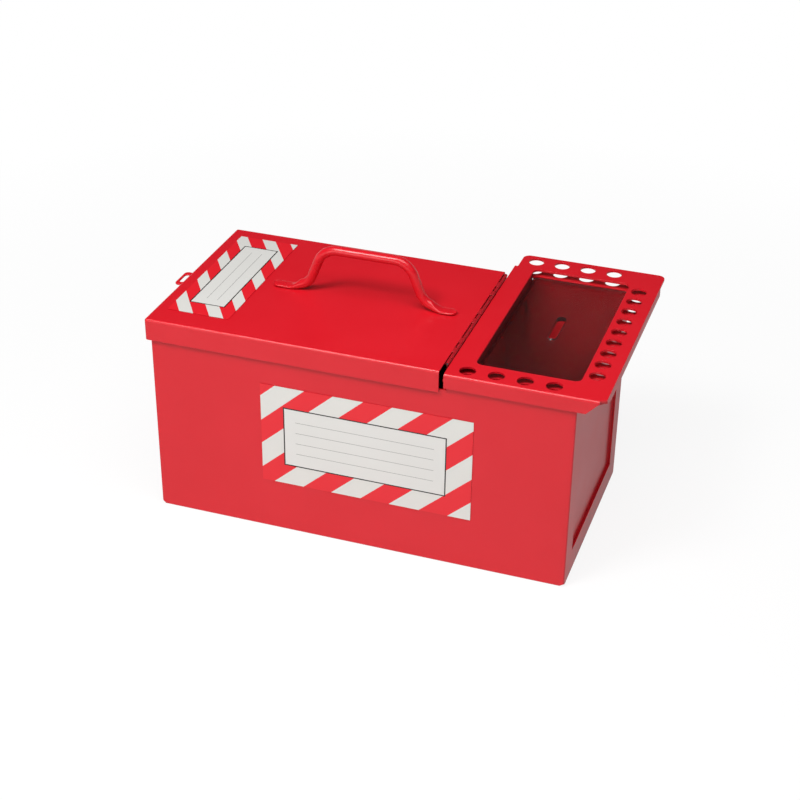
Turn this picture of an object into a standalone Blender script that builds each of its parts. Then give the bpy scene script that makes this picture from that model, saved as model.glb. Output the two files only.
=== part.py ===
"""A portable group lock box of bent sheet steel, drawn in metres with +Z up.

The origin is the middle of the body's bottom face: +X runs to the padlock end and +Y to the back.
The top is two lids on one long hinge: a storage lid with the carrying handle on the left, and on
the right a lock plate with a clear pane, which padlocks pin to the lock flange below it.
"""
from math import copysign, cos, pi, radians, sin

import bmesh
import bpy
from mathutils import Matrix, Vector

MM = 0.001

# Sheet steel and the way it is bent
SHEET = 1.5 * MM
BEND_RADIUS = 2.5 * MM
GAP = 0.3 * MM
OVERRUN = 5.0 * MM
MERGE_DISTANCE = 0.001 * MM
ARC_STEPS = 4
BEND_STEPS = 6
BLOCK_STEPS = 3
HOLE_STEPS = 16

# Body: one sheet folded into front, bottom and back, with an end panel at each side
BODY_LENGTH = 406.4 * MM
BODY_DEPTH = 206.6 * MM
LID_TOP = 205.5 * MM
END_FLANGE = 25.0 * MM
PANEL_RECESS = 3.0 * MM
PANEL_CLEARANCE = 0.5 * MM
PANEL_LEDGE = 12.0 * MM
CORNER_NOTCH = 4.0 * MM
PARTITION_FOOT = 12.0 * MM

# Storage lid: a shallow pan over the left part of the body
LID_CLEARANCE = 1.4 * MM
LID_END_CLEARANCE = 2.8 * MM
LID_SKIRT = 21.7 * MM

# Hinge: one pin, and knuckles of three leaves in turn
KEY_LENGTH = 122.3 * MM
HINGE_SLOT = 4.4 * MM
HINGE_SINK = 1.8 * MM
HINGE_END_CLEARANCE = 0.5 * MM
PIN_RADIUS = 0.8 * MM
KNUCKLE_RADIUS = 1.9 * MM
KNUCKLE_PITCH = 10.0 * MM
KNUCKLE_COUNT = 19
LEAF_THICKNESS = 0.75 * MM
LEAF_REACH = 11.0 * MM
FIXED_LEAF_HEIGHT = 18.0 * MM
NECK_INSET = 0.1 * MM

# Lock plate: the upper of the two padlock layers, both of thicker sheet than the walls
LOCK_SHEET = 2.0 * MM
PLATE_CLEARANCE = 0.9 * MM
PLATE_DROP = 2.1 * MM
PLATE_SKIRT = 14.4 * MM
PLATE_RIGHT_OVERHANG = 25.2 * MM
PLATE_BACK_OVERHANG = 50.2 * MM
PLATE_CORNER_RADIUS = 7.0 * MM
PLATE_CLIP = 5.5 * MM
SKIRT_SLANT = 11.5 * MM
JOG_LENGTH = 27.5 * MM
JOG_STEP = 3.0 * MM
LEFT_STRIP = 20.6 * MM
RIGHT_STRIP = 28.9 * MM
FRONT_STRIP = 27.7 * MM
BACK_STRIP = 28.9 * MM
WINDOW_CORNER_RADIUS = 6.0 * MM

# Padlock holes, which go through both layers
HOLE_DIAMETER = 14.4 * MM
ROW_COUNT = 4
ROW_PITCH = 26.2 * MM
ROW_START = 18.1 * MM
ROW_INSET = 13.2 * MM
COLUMN_COUNT = 9
COLUMN_PITCH = 21.7 * MM
COLUMN_INSET = 17.7 * MM

# Lock flange: the lower layer, fixed on the walls
LAYER_STEP = 7.1 * MM
FLANGE_LIP = 7.5 * MM
FLANGE_FRONT_LAP = 9.0 * MM

# Window pane: clear plastic that hangs from the lock plate and fills the flange's opening
PANE_SINK = 0.8 * MM
PANE_THICKNESS = 4.8 * MM
PANE_CLEARANCE = 0.8 * MM
CARRIER_FOOT = 12.0 * MM
KEY_SLOT_LENGTH = 47.6 * MM
KEY_SLOT_WIDTH = 11.3 * MM

# Hasp: a slotted tab on the lid's left skirt, and another on the body just below the skirt
HASP_DROP = 6.0 * MM
HASP_Y = -5.5 * MM
HASP_WIDTH = 27.0 * MM
HASP_REACH = 11.0 * MM
HASP_CORNER_RADIUS = 4.0 * MM
HASP_SLOT_LENGTH = 17.0 * MM
HASP_SLOT_WIDTH = 5.4 * MM
HASP_RIM = 2.3 * MM
HASP_LID_LEG = 10.0 * MM
HASP_BODY_LEG = 20.0 * MM
HASP_SKIRT_CLEARANCE = 1.0 * MM

# Handle: one round rod with flattened feet
HANDLE_X = -26.1 * MM
HANDLE_Y = 1.5 * MM
ROD_RADIUS = 4.6 * MM
HANDLE_HEIGHT = 45.5 * MM
LEFT_FOOT = 40.5 * MM
RIGHT_FOOT = 32.1 * MM
RISER_SPAN = 110.8 * MM
TOP_SPAN = 71.3 * MM
FOOT_HALF_WIDTH = 7.5 * MM
FOOT_HALF_THICKNESS = 2.2 * MM
FOOT_TAPER = 14.0 * MM
FOOT_BEND_RADIUS = 10.0 * MM
TOP_BEND_RADIUS = 14.0 * MM
ROD_SIDES = 14
FOOT_TIP_SHARES = (0.04, 0.2, 0.55, 1.0)
FOOT_TAPER_SHARES = (1.0, 0.5)
FOOT_START = RISER_SPAN / 2 + FOOT_BEND_RADIUS

# Labels: striped vinyl on the front wall and on the lid, each round a white write-on panel
LABEL_THICKNESS = 0.3 * MM
FRONT_LABEL_LENGTH = 205.4 * MM
FRONT_LABEL_HEIGHT = 104.6 * MM
FRONT_LABEL_X = 8.9 * MM
FRONT_LABEL_BOTTOM = 53.5 * MM
FRONT_PANEL_LENGTH = 158.8 * MM
FRONT_PANEL_HEIGHT = 62.7 * MM
FRONT_PANEL_X = 7.9 * MM
FRONT_PANEL_BOTTOM = 74.1 * MM
LID_LABEL_WIDTH = 61.6 * MM
LID_LABEL_LENGTH = 170.6 * MM
LID_LABEL_INSET = 12.4 * MM
LID_LABEL_Y = 4.0 * MM
LID_PANEL_WIDTH = 36.2 * MM
LID_PANEL_LENGTH = 130.2 * MM
LID_PANEL_INSET = 25.0 * MM
LID_PANEL_Y = 4.2 * MM

# Levels
LID_UNDERSIDE = LID_TOP - SHEET
WALL_TOP = LID_UNDERSIDE - GAP
PLATE_TOP = LID_TOP - PLATE_DROP
PLATE_UNDERSIDE = PLATE_TOP - LOCK_SHEET
FLANGE_TOP = PLATE_TOP - LAYER_STEP
KEY_WALL_TOP = FLANGE_TOP - LOCK_SHEET - GAP
PANE_TOP = FLANGE_TOP - PANE_SINK
PANE_LOW = PANE_TOP - PANE_THICKNESS
LEDGE_TOP = PANE_LOW - GAP
CARRIER_LOW = PANE_LOW - GAP - SHEET
PIN_Z = LID_TOP - HINGE_SINK

# Places along X
BODY_LEFT = -BODY_LENGTH / 2
BODY_RIGHT = BODY_LENGTH / 2
PIN_X = BODY_RIGHT - KEY_LENGTH
LID_LEFT = BODY_LEFT - LID_END_CLEARANCE - SHEET
LID_RIGHT = PIN_X - HINGE_SLOT / 2
PLATE_LEFT = PIN_X + HINGE_SLOT / 2
PLATE_RIGHT = BODY_RIGHT + PLATE_RIGHT_OVERHANG
WINDOW_LEFT = PLATE_LEFT + LEFT_STRIP
WINDOW_RIGHT = PLATE_RIGHT - RIGHT_STRIP
PARTITION_LEFT = PIN_X + LEAF_THICKNESS / 2 + GAP

# Places along Y
BODY_FRONT = -BODY_DEPTH / 2
BODY_BACK = BODY_DEPTH / 2
LID_BACK = BODY_BACK + LID_CLEARANCE + SHEET
PLATE_FRONT = BODY_FRONT - PLATE_CLEARANCE - LOCK_SHEET
PLATE_BACK = BODY_BACK + PLATE_BACK_OVERHANG
PLATE_MIDDLE = (PLATE_FRONT + PLATE_BACK) / 2
WINDOW_FRONT = PLATE_FRONT + FRONT_STRIP
WINDOW_BACK = PLATE_BACK - BACK_STRIP
HINGE_BACK = BODY_BACK - SHEET - HINGE_END_CLEARANCE
HINGE_FRONT = HINGE_BACK - KNUCKLE_COUNT * KNUCKLE_PITCH

# Places of a flat outline that stands in the YZ or the XZ plane
FACE_YZ = Matrix(((0, 0, 1, 0), (1, 0, 0, 0), (0, 1, 0, 0), (0, 0, 0, 1)))
FACE_XZ = Matrix(((1, 0, 0, 0), (0, 0, -1, 0), (0, 1, 0, 0), (0, 0, 0, 1)))
FLAT = Matrix.Identity(4)


def clear_scene():
    for old in list(bpy.data.objects):
        bpy.data.objects.remove(old, do_unlink=True)


def make_collection(name):
    group = bpy.data.collections.new(name)
    bpy.context.scene.collection.children.link(group)
    return group


def make_material(name, colour, roughness, metallic=0.0):
    material = bpy.data.materials.new(name)
    material.use_nodes = True
    shader = material.node_tree.nodes["Principled BSDF"]
    shader.inputs["Base Color"].default_value = (*colour, 1.0)
    shader.inputs["Roughness"].default_value = roughness
    shader.inputs["Metallic"].default_value = metallic
    material.diffuse_color = (*colour, 1.0)
    return material


def add_part(name, mesh, material):
    part = bpy.data.objects.new(name, mesh)
    mesh.name = name
    mesh.materials.clear()
    mesh.materials.append(material)
    PARTS.objects.link(part)
    return part


def add_tool(name, mesh):
    tool = bpy.data.objects.new(name, mesh)
    tool.hide_render = True
    tool.display_type = "WIRE"
    TOOLS.objects.link(tool)
    return tool


def cut(part, tool):
    step = part.modifiers.new("cut " + tool.name, "BOOLEAN")
    step.operation = "DIFFERENCE"
    step.object = tool


def join(part, tool):
    step = part.modifiers.new("join " + tool.name, "BOOLEAN")
    step.operation = "UNION"
    step.object = tool


def box_mesh(low, high):
    shape = bmesh.new()
    bmesh.ops.create_cube(shape, size=1.0)
    size = Vector(high) - Vector(low)
    middle = (Vector(high) + Vector(low)) / 2
    bmesh.ops.scale(shape, vec=size, verts=shape.verts)
    bmesh.ops.translate(shape, vec=middle, verts=shape.verts)
    return finish_mesh(shape)


def cylinder_mesh(radius, front, back, x, z, sides):
    shape = bmesh.new()
    bmesh.ops.create_cone(shape, cap_ends=True, segments=sides, radius1=radius, radius2=radius,
                          depth=back - front)
    turn = Matrix.Rotation(radians(90), 4, "X")
    place = Matrix.Translation((x, (front + back) / 2, z))
    bmesh.ops.transform(shape, matrix=place @ turn, verts=shape.verts)
    return finish_mesh(shape)


def finish_mesh(shape):
    mesh = bpy.data.meshes.new("mesh")
    shape.to_mesh(mesh)
    shape.free()
    return mesh


def outline_mesh(outlines, low, high, face=FLAT):
    """A sheet with the given outlines, the first around it and the rest holes, from low to high."""
    curve = bpy.data.curves.new("outline", "CURVE")
    curve.dimensions = "2D"
    curve.fill_mode = "BOTH"
    curve.extrude = (high - low) / 2
    for points in outlines:
        spline = curve.splines.new("POLY")
        spline.points.add(len(points) - 1)
        for spot, (x, y) in zip(spline.points, points):
            spot.co = (x, y, 0, 1)
        spline.use_cyclic_u = True
    flat = bpy.data.objects.new("outline", curve)
    bpy.context.scene.collection.objects.link(flat)
    bpy.context.view_layer.update()
    mesh = bpy.data.meshes.new_from_object(flat.evaluated_get(bpy.context.evaluated_depsgraph_get()))
    bpy.data.objects.remove(flat, do_unlink=True)
    shape = bmesh.new()
    shape.from_mesh(mesh)
    bmesh.ops.remove_doubles(shape, verts=shape.verts, dist=MERGE_DISTANCE)
    lift = Matrix.Translation((0, 0, (low + high) / 2))
    bmesh.ops.transform(shape, matrix=face @ lift, verts=shape.verts)
    bmesh.ops.recalc_face_normals(shape, faces=shape.faces)
    shape.to_mesh(mesh)
    shape.free()
    return mesh


def rounded(corners, steps=ARC_STEPS):
    """Points of a closed outline; each corner is (x, y, radius)."""
    points = []
    for index, (x, y, radius) in enumerate(corners):
        here = Vector((x, y))
        before = Vector(corners[index - 1][:2])
        after = Vector(corners[(index + 1) % len(corners)][:2])
        if radius == 0:
            points.append((x, y))
            continue
        points += corner_arc(before, here, after, radius, steps)
    return points


def corner_arc(before, here, after, radius, steps):
    to_before = (before - here).normalized()
    to_after = (after - here).normalized()
    half = to_before.angle(to_after) / 2
    centre = here + (to_before + to_after).normalized() * (radius / sin(half))
    start = here + to_before * (radius * cos(half) / sin(half))
    end = here + to_after * (radius * cos(half) / sin(half))
    first = start - centre
    turn = first.angle_signed(end - centre)
    arc = []
    for step in range(steps + 1):
        arc.append(centre + first @ Matrix.Rotation(turn * step / steps, 2))
    return [(spot.x, spot.y) for spot in arc]


def rectangle(left, right, front, back, radius):
    return rounded([(left, front, radius), (right, front, radius), (right, back, radius),
                    (left, back, radius)])


def circle(x, y, radius):
    points = []
    for step in range(HOLE_STEPS):
        angle = 2 * pi * (step + 0.5) / HOLE_STEPS
        points.append((x + radius * cos(angle), y + radius * sin(angle)))
    return points


def padlock_holes():
    """Centres of the front row, the back row and the column at the right."""
    centres = []
    for index in range(ROW_COUNT):
        x = PLATE_LEFT + ROW_START + index * ROW_PITCH
        centres.append((x, PLATE_FRONT + ROW_INSET))
        centres.append((x, PLATE_BACK - ROW_INSET))
    for index in range(COLUMN_COUNT):
        y = PLATE_MIDDLE + (index - (COLUMN_COUNT - 1) / 2) * COLUMN_PITCH
        centres.append((PLATE_RIGHT - COLUMN_INSET, y))
    return [circle(x, y, HOLE_DIAMETER / 2) for x, y in centres]


def rounded_block(low, high, radius):
    shape = bmesh.new()
    bmesh.ops.create_cube(shape, size=1.0)
    bmesh.ops.scale(shape, vec=Vector(high) - Vector(low), verts=shape.verts)
    bmesh.ops.translate(shape, vec=(Vector(high) + Vector(low)) / 2, verts=shape.verts)
    bmesh.ops.bevel(shape, geom=shape.edges, offset=radius, segments=BLOCK_STEPS, profile=0.5,
                    affect="EDGES")
    return finish_mesh(shape)


def folded_pan(name, low, high, material):
    """A closed pan of sheet steel with rounded folds: a block and the hollow inside it."""
    part = add_part(name, rounded_block(low, high, BEND_RADIUS), material)
    thick = Vector((SHEET, SHEET, SHEET))
    hollow = rounded_block(Vector(low) + thick, Vector(high) - thick, BEND_RADIUS - SHEET)
    cut(part, add_tool(name + "_hollow", hollow))
    return part


def trim(part, name, low, high):
    cut(part, add_tool(name, box_mesh(low, high)))


def body_shell(material):
    """Front, bottom and back in one folded sheet, with flanges that frame both ends."""
    beyond = 2 * OVERRUN
    part = folded_pan("body_shell", (BODY_LEFT, BODY_FRONT, 0),
                      (BODY_RIGHT, BODY_BACK, WALL_TOP + beyond), material)
    high = WALL_TOP + 2 * beyond
    trim(part, "open_top", (BODY_LEFT - beyond, BODY_FRONT - beyond, WALL_TOP),
         (BODY_RIGHT + beyond, BODY_BACK + beyond, high))
    trim(part, "open_ends", (BODY_LEFT - beyond, BODY_FRONT + END_FLANGE, END_FLANGE),
         (BODY_RIGHT + beyond, BODY_BACK - END_FLANGE, high))
    trim(part, "key_end_step", (PARTITION_LEFT - GAP, BODY_FRONT - beyond, KEY_WALL_TOP),
         (BODY_RIGHT + beyond, BODY_BACK + beyond, high))
    trim(part, "pane_notch", (WINDOW_LEFT - SHEET - PANE_CLEARANCE, 0, CARRIER_LOW - GAP),
         (WINDOW_RIGHT + PANE_CLEARANCE, BODY_BACK + beyond, high))
    for x in (BODY_LEFT, BODY_RIGHT):
        for y in (BODY_FRONT, BODY_BACK):
            cut(part, corner_notch(x, y))
    return part


def corner_notch(x, y):
    """The relief at a bottom corner, where three folds would meet."""
    mesh = box_mesh((-CORNER_NOTCH, -CORNER_NOTCH, -CORNER_NOTCH),
                    (CORNER_NOTCH, CORNER_NOTCH, CORNER_NOTCH))
    tool = add_tool("corner_notch", mesh)
    tool.location = (x, y, 0)
    tool.rotation_euler = (radians(45), 0, radians(45))
    return tool


def angle_mesh(corner, ledge_end, wall_end, front, back):
    """A sheet with one square fold at corner: a ledge along X to ledge_end, a wall to wall_end."""
    x, z = corner
    side = x + copysign(SHEET, ledge_end - x)
    level = z + copysign(SHEET, wall_end - z)
    section = [(x, z), (ledge_end, z), (ledge_end, level), (side, level), (side, wall_end),
               (x, wall_end)]
    return outline_mesh([section], -back, -front, FACE_XZ)


def end_panel(name, outer, inward, top, material):
    """A flat end with its top edge folded inwards; outer is its outside face."""
    half = BODY_DEPTH / 2 - SHEET - PANEL_CLEARANCE
    mesh = angle_mesh((outer, top), outer + inward * PANEL_LEDGE, SHEET + PANEL_CLEARANCE, -half,
                      half)
    return add_part(name, mesh, material)


def partition_wall(material):
    """The wall under the hinge, which parts the key compartment from the storage one."""
    half = BODY_DEPTH / 2 - SHEET - PANEL_CLEARANCE
    mesh = angle_mesh((PARTITION_LEFT, SHEET + PANEL_CLEARANCE), PARTITION_LEFT + PARTITION_FOOT,
                      KEY_WALL_TOP, -half, half)
    return add_part("partition_wall", mesh, material)


def flange_edge(inset):
    """The lock flange's outer edge from front right round to back left, moved in by inset."""
    right = PLATE_RIGHT - inset
    back = PLATE_BACK - inset
    front = BODY_FRONT + FLANGE_FRONT_LAP
    left = PLATE_LEFT + JOG_STEP
    corner = corner_arc(Vector((right, front)), Vector((right, back)), Vector((left, back)),
                        PLATE_CORNER_RADIUS - inset, ARC_STEPS)
    return [(right, front)] + corner + [(left, back)]


def lock_flange(material):
    """The fixed lower layer, a frame on the walls that stands out at the back and at the right."""
    left = PLATE_LEFT + JOG_STEP
    outline = flange_edge(0)
    outline += [(left, BODY_BACK), (PARTITION_LEFT, BODY_BACK), (PARTITION_LEFT, BODY_FRONT),
                (PLATE_RIGHT - FLANGE_FRONT_LAP, BODY_FRONT)]
    slab = outline_mesh([outline], FLANGE_TOP - FLANGE_LIP, FLANGE_TOP)
    part = add_part("lock_flange", slab, material)
    front = BODY_FRONT - OVERRUN
    pocket = flange_edge(LOCK_SHEET)
    pocket[0] = (PLATE_RIGHT - LOCK_SHEET, front)
    pocket[-1] = (PARTITION_LEFT - OVERRUN, PLATE_BACK - LOCK_SHEET)
    pocket += [(PARTITION_LEFT - OVERRUN, front)]
    hollow = outline_mesh([pocket], FLANGE_TOP - FLANGE_LIP - OVERRUN, FLANGE_TOP - LOCK_SHEET)
    cut(part, add_tool("flange_hollow", hollow))
    opening = rectangle(WINDOW_LEFT - SHEET - PANE_CLEARANCE, WINDOW_RIGHT + PANE_CLEARANCE,
                        WINDOW_FRONT, WINDOW_BACK, WINDOW_CORNER_RADIUS)
    punch = outline_mesh([opening] + padlock_holes(), FLANGE_TOP - FLANGE_LIP,
                         FLANGE_TOP + OVERRUN)
    cut(part, add_tool("flange_punch", punch))
    return part


def plate_outline():
    """The lock plate's edge from above; in front it runs on past the skirt."""
    clip = PLATE_FRONT + BEND_RADIUS
    jog = PLATE_BACK - JOG_LENGTH
    return rounded([
        (PLATE_LEFT, PLATE_FRONT - OVERRUN, 0),
        (PLATE_RIGHT - PLATE_CLIP, PLATE_FRONT - OVERRUN, 0),
        (PLATE_RIGHT - PLATE_CLIP, clip, 0),
        (PLATE_RIGHT, clip + PLATE_CLIP / 2, 0),
        (PLATE_RIGHT, PLATE_BACK, PLATE_CORNER_RADIUS),
        (PLATE_LEFT + JOG_STEP, PLATE_BACK, PLATE_CORNER_RADIUS),
        (PLATE_LEFT + JOG_STEP, jog, 0),
        (PLATE_LEFT, jog, 0),
    ])


def plate_profile():
    """Section of the lock plate and its folded front skirt in the YZ plane."""
    back = PLATE_BACK + OVERRUN
    low = PLATE_TOP - PLATE_SKIRT
    return rounded([
        (back, PLATE_TOP, 0),
        (PLATE_FRONT, PLATE_TOP, BEND_RADIUS),
        (PLATE_FRONT, low, 0),
        (PLATE_FRONT + LOCK_SHEET, low, 0),
        (PLATE_FRONT + LOCK_SHEET, PLATE_UNDERSIDE, BEND_RADIUS - LOCK_SHEET),
        (back, PLATE_UNDERSIDE, 0),
    ])


def lock_plate(material):
    """The upper layer: an open window, and a padlock hole above each one below."""
    folded = outline_mesh([plate_profile()], PLATE_LEFT - OVERRUN, PLATE_RIGHT + OVERRUN, FACE_YZ)
    part = add_part("lock_plate", folded, material)
    low = PLATE_TOP - PLATE_SKIRT - OVERRUN
    high = PLATE_TOP + OVERRUN
    reach = 2 * OVERRUN
    around = rectangle(PLATE_LEFT - reach, PLATE_RIGHT + reach, PLATE_FRONT - reach,
                       PLATE_BACK + reach, 0)
    cut(part, add_tool("plate_trim", outline_mesh([around, plate_outline()], low, high)))
    window = rectangle(WINDOW_LEFT, WINDOW_RIGHT, WINDOW_FRONT, WINDOW_BACK, WINDOW_CORNER_RADIUS)
    cut(part, add_tool("plate_punch", outline_mesh([window] + padlock_holes(), low, high)))
    end = PLATE_RIGHT - PLATE_CLIP
    fold = PLATE_TOP - BEND_RADIUS
    slant = [(end, fold), (end + OVERRUN, fold), (end + OVERRUN, low), (end - SKIRT_SLANT, low),
             (end - SKIRT_SLANT, PLATE_TOP - PLATE_SKIRT)]
    wedge = outline_mesh([slant], -BODY_FRONT, -PLATE_FRONT + OVERRUN, FACE_XZ)
    cut(part, add_tool("skirt_slant", wedge))
    return part


def rounded_ends(x, y, half_width, half_length):
    """An obround along Y: a half circle at each end of two straight sides."""
    points = []
    for step in range(HOLE_STEPS + 1):
        angle = pi * step / HOLE_STEPS
        points.append((x + half_width * cos(angle),
                       y + half_length - half_width + half_width * sin(angle)))
    for step in range(HOLE_STEPS + 1):
        angle = pi + pi * step / HOLE_STEPS
        points.append((x + half_width * cos(angle),
                       y - half_length + half_width + half_width * sin(angle)))
    return points


def window_pane(material):
    """The clear pane with its key slot, centred in the window and running along Y."""
    front = WINDOW_FRONT + PANE_CLEARANCE
    back = WINDOW_BACK - PANE_CLEARANCE
    pane = rectangle(WINDOW_LEFT + GAP, WINDOW_RIGHT, front, back, WINDOW_CORNER_RADIUS)
    slot = rounded_ends((WINDOW_LEFT + WINDOW_RIGHT) / 2, (WINDOW_FRONT + WINDOW_BACK) / 2,
                        KEY_SLOT_WIDTH / 2, KEY_SLOT_LENGTH / 2)
    return add_part("window_pane", outline_mesh([pane, slot], PANE_LOW, PANE_TOP), material)


def pane_carrier(material):
    """A strip folded twice: one flange under the lock plate, the other under the pane's edge."""
    high = PLATE_UNDERSIDE - GAP
    low = CARRIER_LOW
    left = PIN_X + LEAF_REACH + GAP
    web = WINDOW_LEFT - SHEET
    tip = WINDOW_LEFT + CARRIER_FOOT
    section = [(left, high), (WINDOW_LEFT, high), (WINDOW_LEFT, low + SHEET), (tip, low + SHEET),
               (tip, low), (web, low), (web, high - SHEET), (left, high - SHEET)]
    front = WINDOW_FRONT + PANE_CLEARANCE + WINDOW_CORNER_RADIUS
    back = WINDOW_BACK - PANE_CLEARANCE - WINDOW_CORNER_RADIUS
    return add_part("pane_carrier", outline_mesh([section], -back, -front, FACE_XZ), material)


def storage_lid(material):
    """A pan with skirts at the front, back and left; its right edge is the hinge's."""
    beyond = 2 * OVERRUN
    low = LID_TOP - LID_SKIRT
    part = folded_pan("storage_lid", (LID_LEFT, -LID_BACK, low - beyond),
                      (LID_RIGHT + beyond, LID_BACK, LID_TOP), material)
    trim(part, "open_bottom", (LID_LEFT - beyond, -LID_BACK - beyond, low - 2 * beyond),
         (LID_RIGHT + 2 * beyond, LID_BACK + beyond, low))
    trim(part, "open_hinge_side", (LID_RIGHT, -LID_BACK - beyond, low - 2 * beyond),
         (LID_RIGHT + 2 * beyond, LID_BACK + beyond, LID_TOP + beyond))
    return part


def hasp_angle(name, seat, top, leg, material):
    """A slotted tab that reaches left, folded down into a leg that is welded at seat."""
    tip = LID_LEFT - GAP - HASP_REACH
    front = HASP_Y - HASP_WIDTH / 2
    back = HASP_Y + HASP_WIDTH / 2
    part = add_part(name, angle_mesh((seat, top), tip - OVERRUN, top - leg, front, back), material)
    low = top - leg - OVERRUN
    high = top + OVERRUN
    reach = 2 * OVERRUN
    tab = rounded([(seat + OVERRUN, front - OVERRUN, 0), (seat + OVERRUN, back + OVERRUN, 0),
                   (tip + HASP_CORNER_RADIUS, back + OVERRUN, 0),
                   (tip + HASP_CORNER_RADIUS, back, 0), (tip, back, HASP_CORNER_RADIUS),
                   (tip, front, HASP_CORNER_RADIUS), (tip + HASP_CORNER_RADIUS, front, 0),
                   (tip + HASP_CORNER_RADIUS, front - OVERRUN, 0)])
    around = rectangle(tip - reach, seat + reach, front - reach, back + reach, 0)
    cut(part, add_tool(name + "_trim", outline_mesh([around, tab], low, high)))
    middle = tip + HASP_RIM + HASP_SLOT_WIDTH / 2
    slot = rounded_ends(middle, HASP_Y, HASP_SLOT_WIDTH / 2, HASP_SLOT_LENGTH / 2)
    cut(part, add_tool(name + "_slot", outline_mesh([slot], low, high)))
    return part


def hasp(material):
    hasp_angle("lid_hasp", LID_LEFT - GAP, LID_TOP - HASP_DROP, HASP_LID_LEG, material)
    hasp_angle("body_hasp", BODY_LEFT + PANEL_RECESS - GAP,
               LID_TOP - LID_SKIRT - HASP_SKIRT_CLEARANCE, HASP_BODY_LEG, material)


def knuckle_span(index):
    front = HINGE_FRONT + index * KNUCKLE_PITCH + GAP / 2
    return front, front + KNUCKLE_PITCH - GAP


def knuckle_owner(index):
    """Every sixth knuckle is the fixed leaf's; between them the lid's and the plate's take turns."""
    if index % 6 == 0:
        return "fixed"
    return ("lid", "plate")[index % 2]


def hinge_leaf(name, owner, strip, neck, material):
    """A leaf is a strip with its own knuckles; neck is the piece that ties a knuckle to it.

    A neck stands back a little from the faces of its leaf, so that no two faces fall together.
    """
    (left, low), (right, high) = strip
    leaf = box_mesh((left, HINGE_FRONT, low), (right, HINGE_BACK, high))
    part = add_part(name, leaf, material)
    (neck_left, neck_low), (neck_right, neck_high) = neck
    for index in range(KNUCKLE_COUNT):
        if knuckle_owner(index) != owner:
            continue
        front, back = knuckle_span(index)
        tie = box_mesh((neck_left, front + NECK_INSET, neck_low),
                       (neck_right, back - NECK_INSET, neck_high))
        join(part, add_tool(name + "_neck", tie))
        barrel = cylinder_mesh(KNUCKLE_RADIUS, front, back, PIN_X, PIN_Z, HOLE_STEPS)
        join(part, add_tool(name + "_knuckle", barrel))
    bore = cylinder_mesh(PIN_RADIUS + GAP, HINGE_FRONT - OVERRUN, HINGE_BACK + OVERRUN,
                         PIN_X, PIN_Z, HOLE_STEPS)
    cut(part, add_tool(name + "_bore", bore))
    return part


def hinge(material):
    """Three leaves on one pin: under the lid, under the lock plate and down the partition."""
    clear = KNUCKLE_RADIUS + GAP
    wall = (KNUCKLE_RADIUS + PIN_RADIUS + GAP) / 2
    lid_top = LID_UNDERSIDE - GAP
    lid_low = lid_top - LEAF_THICKNESS
    hinge_leaf("hinge_lid_leaf", "lid",
               ((PIN_X - LEAF_REACH, lid_low), (PIN_X - clear, lid_top)),
               ((PIN_X - clear - LEAF_THICKNESS, lid_low + NECK_INSET),
                (PIN_X - wall, lid_top - NECK_INSET)), material)
    plate_top = PLATE_UNDERSIDE - GAP
    plate_low = plate_top - LEAF_THICKNESS
    side = PIN_X + LEAF_THICKNESS / 2 + 2 * GAP
    hinge_leaf("hinge_plate_leaf", "plate",
               ((side, plate_low), (PIN_X + LEAF_REACH, plate_top)),
               ((side + NECK_INSET, plate_low + NECK_INSET),
                (side + LEAF_THICKNESS, PIN_Z - wall * cos(radians(35)))), material)
    half = LEAF_THICKNESS / 2
    tie = half - NECK_INSET
    hinge_leaf("hinge_fixed_leaf", "fixed",
               ((PIN_X - half, PIN_Z - clear - FIXED_LEAF_HEIGHT), (PIN_X + half, PIN_Z - clear)),
               ((PIN_X - tie, PIN_Z - clear - LEAF_THICKNESS), (PIN_X + tie, PIN_Z - wall)),
               material)


def hinge_pin(material):
    mesh = cylinder_mesh(PIN_RADIUS, HINGE_FRONT, HINGE_BACK, PIN_X, PIN_Z, HOLE_STEPS)
    return add_part("hinge_pin", mesh, material)


def foot_tip(side):
    """Where a foot ends, on the left (-1) or on the right (1)."""
    return side * RISER_SPAN / 2 + (RIGHT_FOOT if side > 0 else -LEFT_FOOT)


def foot_path(side):
    """Centre points of a foot from its tip to where it starts to flatten."""
    spots = [foot_tip(side) - side * share * FOOT_HALF_WIDTH for share in FOOT_TIP_SHARES]
    spots += [side * (FOOT_START + FOOT_TAPER * share) for share in FOOT_TAPER_SHARES]
    return [(x, ROD_RADIUS) for x in spots]


def handle_path():
    """Centre line of the rod from the left foot's tip to the right one's, in the XZ plane."""
    corners = [(foot_tip(-1), ROD_RADIUS, 0),
               (-RISER_SPAN / 2, ROD_RADIUS, FOOT_BEND_RADIUS),
               (-TOP_SPAN / 2, HANDLE_HEIGHT, TOP_BEND_RADIUS),
               (TOP_SPAN / 2, HANDLE_HEIGHT, TOP_BEND_RADIUS),
               (RISER_SPAN / 2, ROD_RADIUS, FOOT_BEND_RADIUS),
               (foot_tip(1), ROD_RADIUS, 0)]
    spots = foot_path(-1)
    for before, (x, z, radius), after in zip(corners, corners[1:], corners[2:]):
        spots += corner_arc(Vector(before[:2]), Vector((x, z)), Vector(after[:2]), radius,
                            BEND_STEPS)
    return spots + foot_path(1)[::-1]


def foot_section(x):
    """Half width and half thickness of the rod at x, flattened towards each foot's round tip."""
    share = min(max((abs(x) - FOOT_START) / FOOT_TAPER, 0), 1)
    width = ROD_RADIUS + (FOOT_HALF_WIDTH - ROD_RADIUS) * share
    depth = ROD_RADIUS + (FOOT_HALF_THICKNESS - ROD_RADIUS) * share
    from_tip = abs(foot_tip(copysign(1, x)) - x) / FOOT_HALF_WIDTH
    if from_tip < 1:
        width = FOOT_HALF_WIDTH * (1 - (1 - from_tip) ** 2) ** 0.5
    return width, depth


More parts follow.
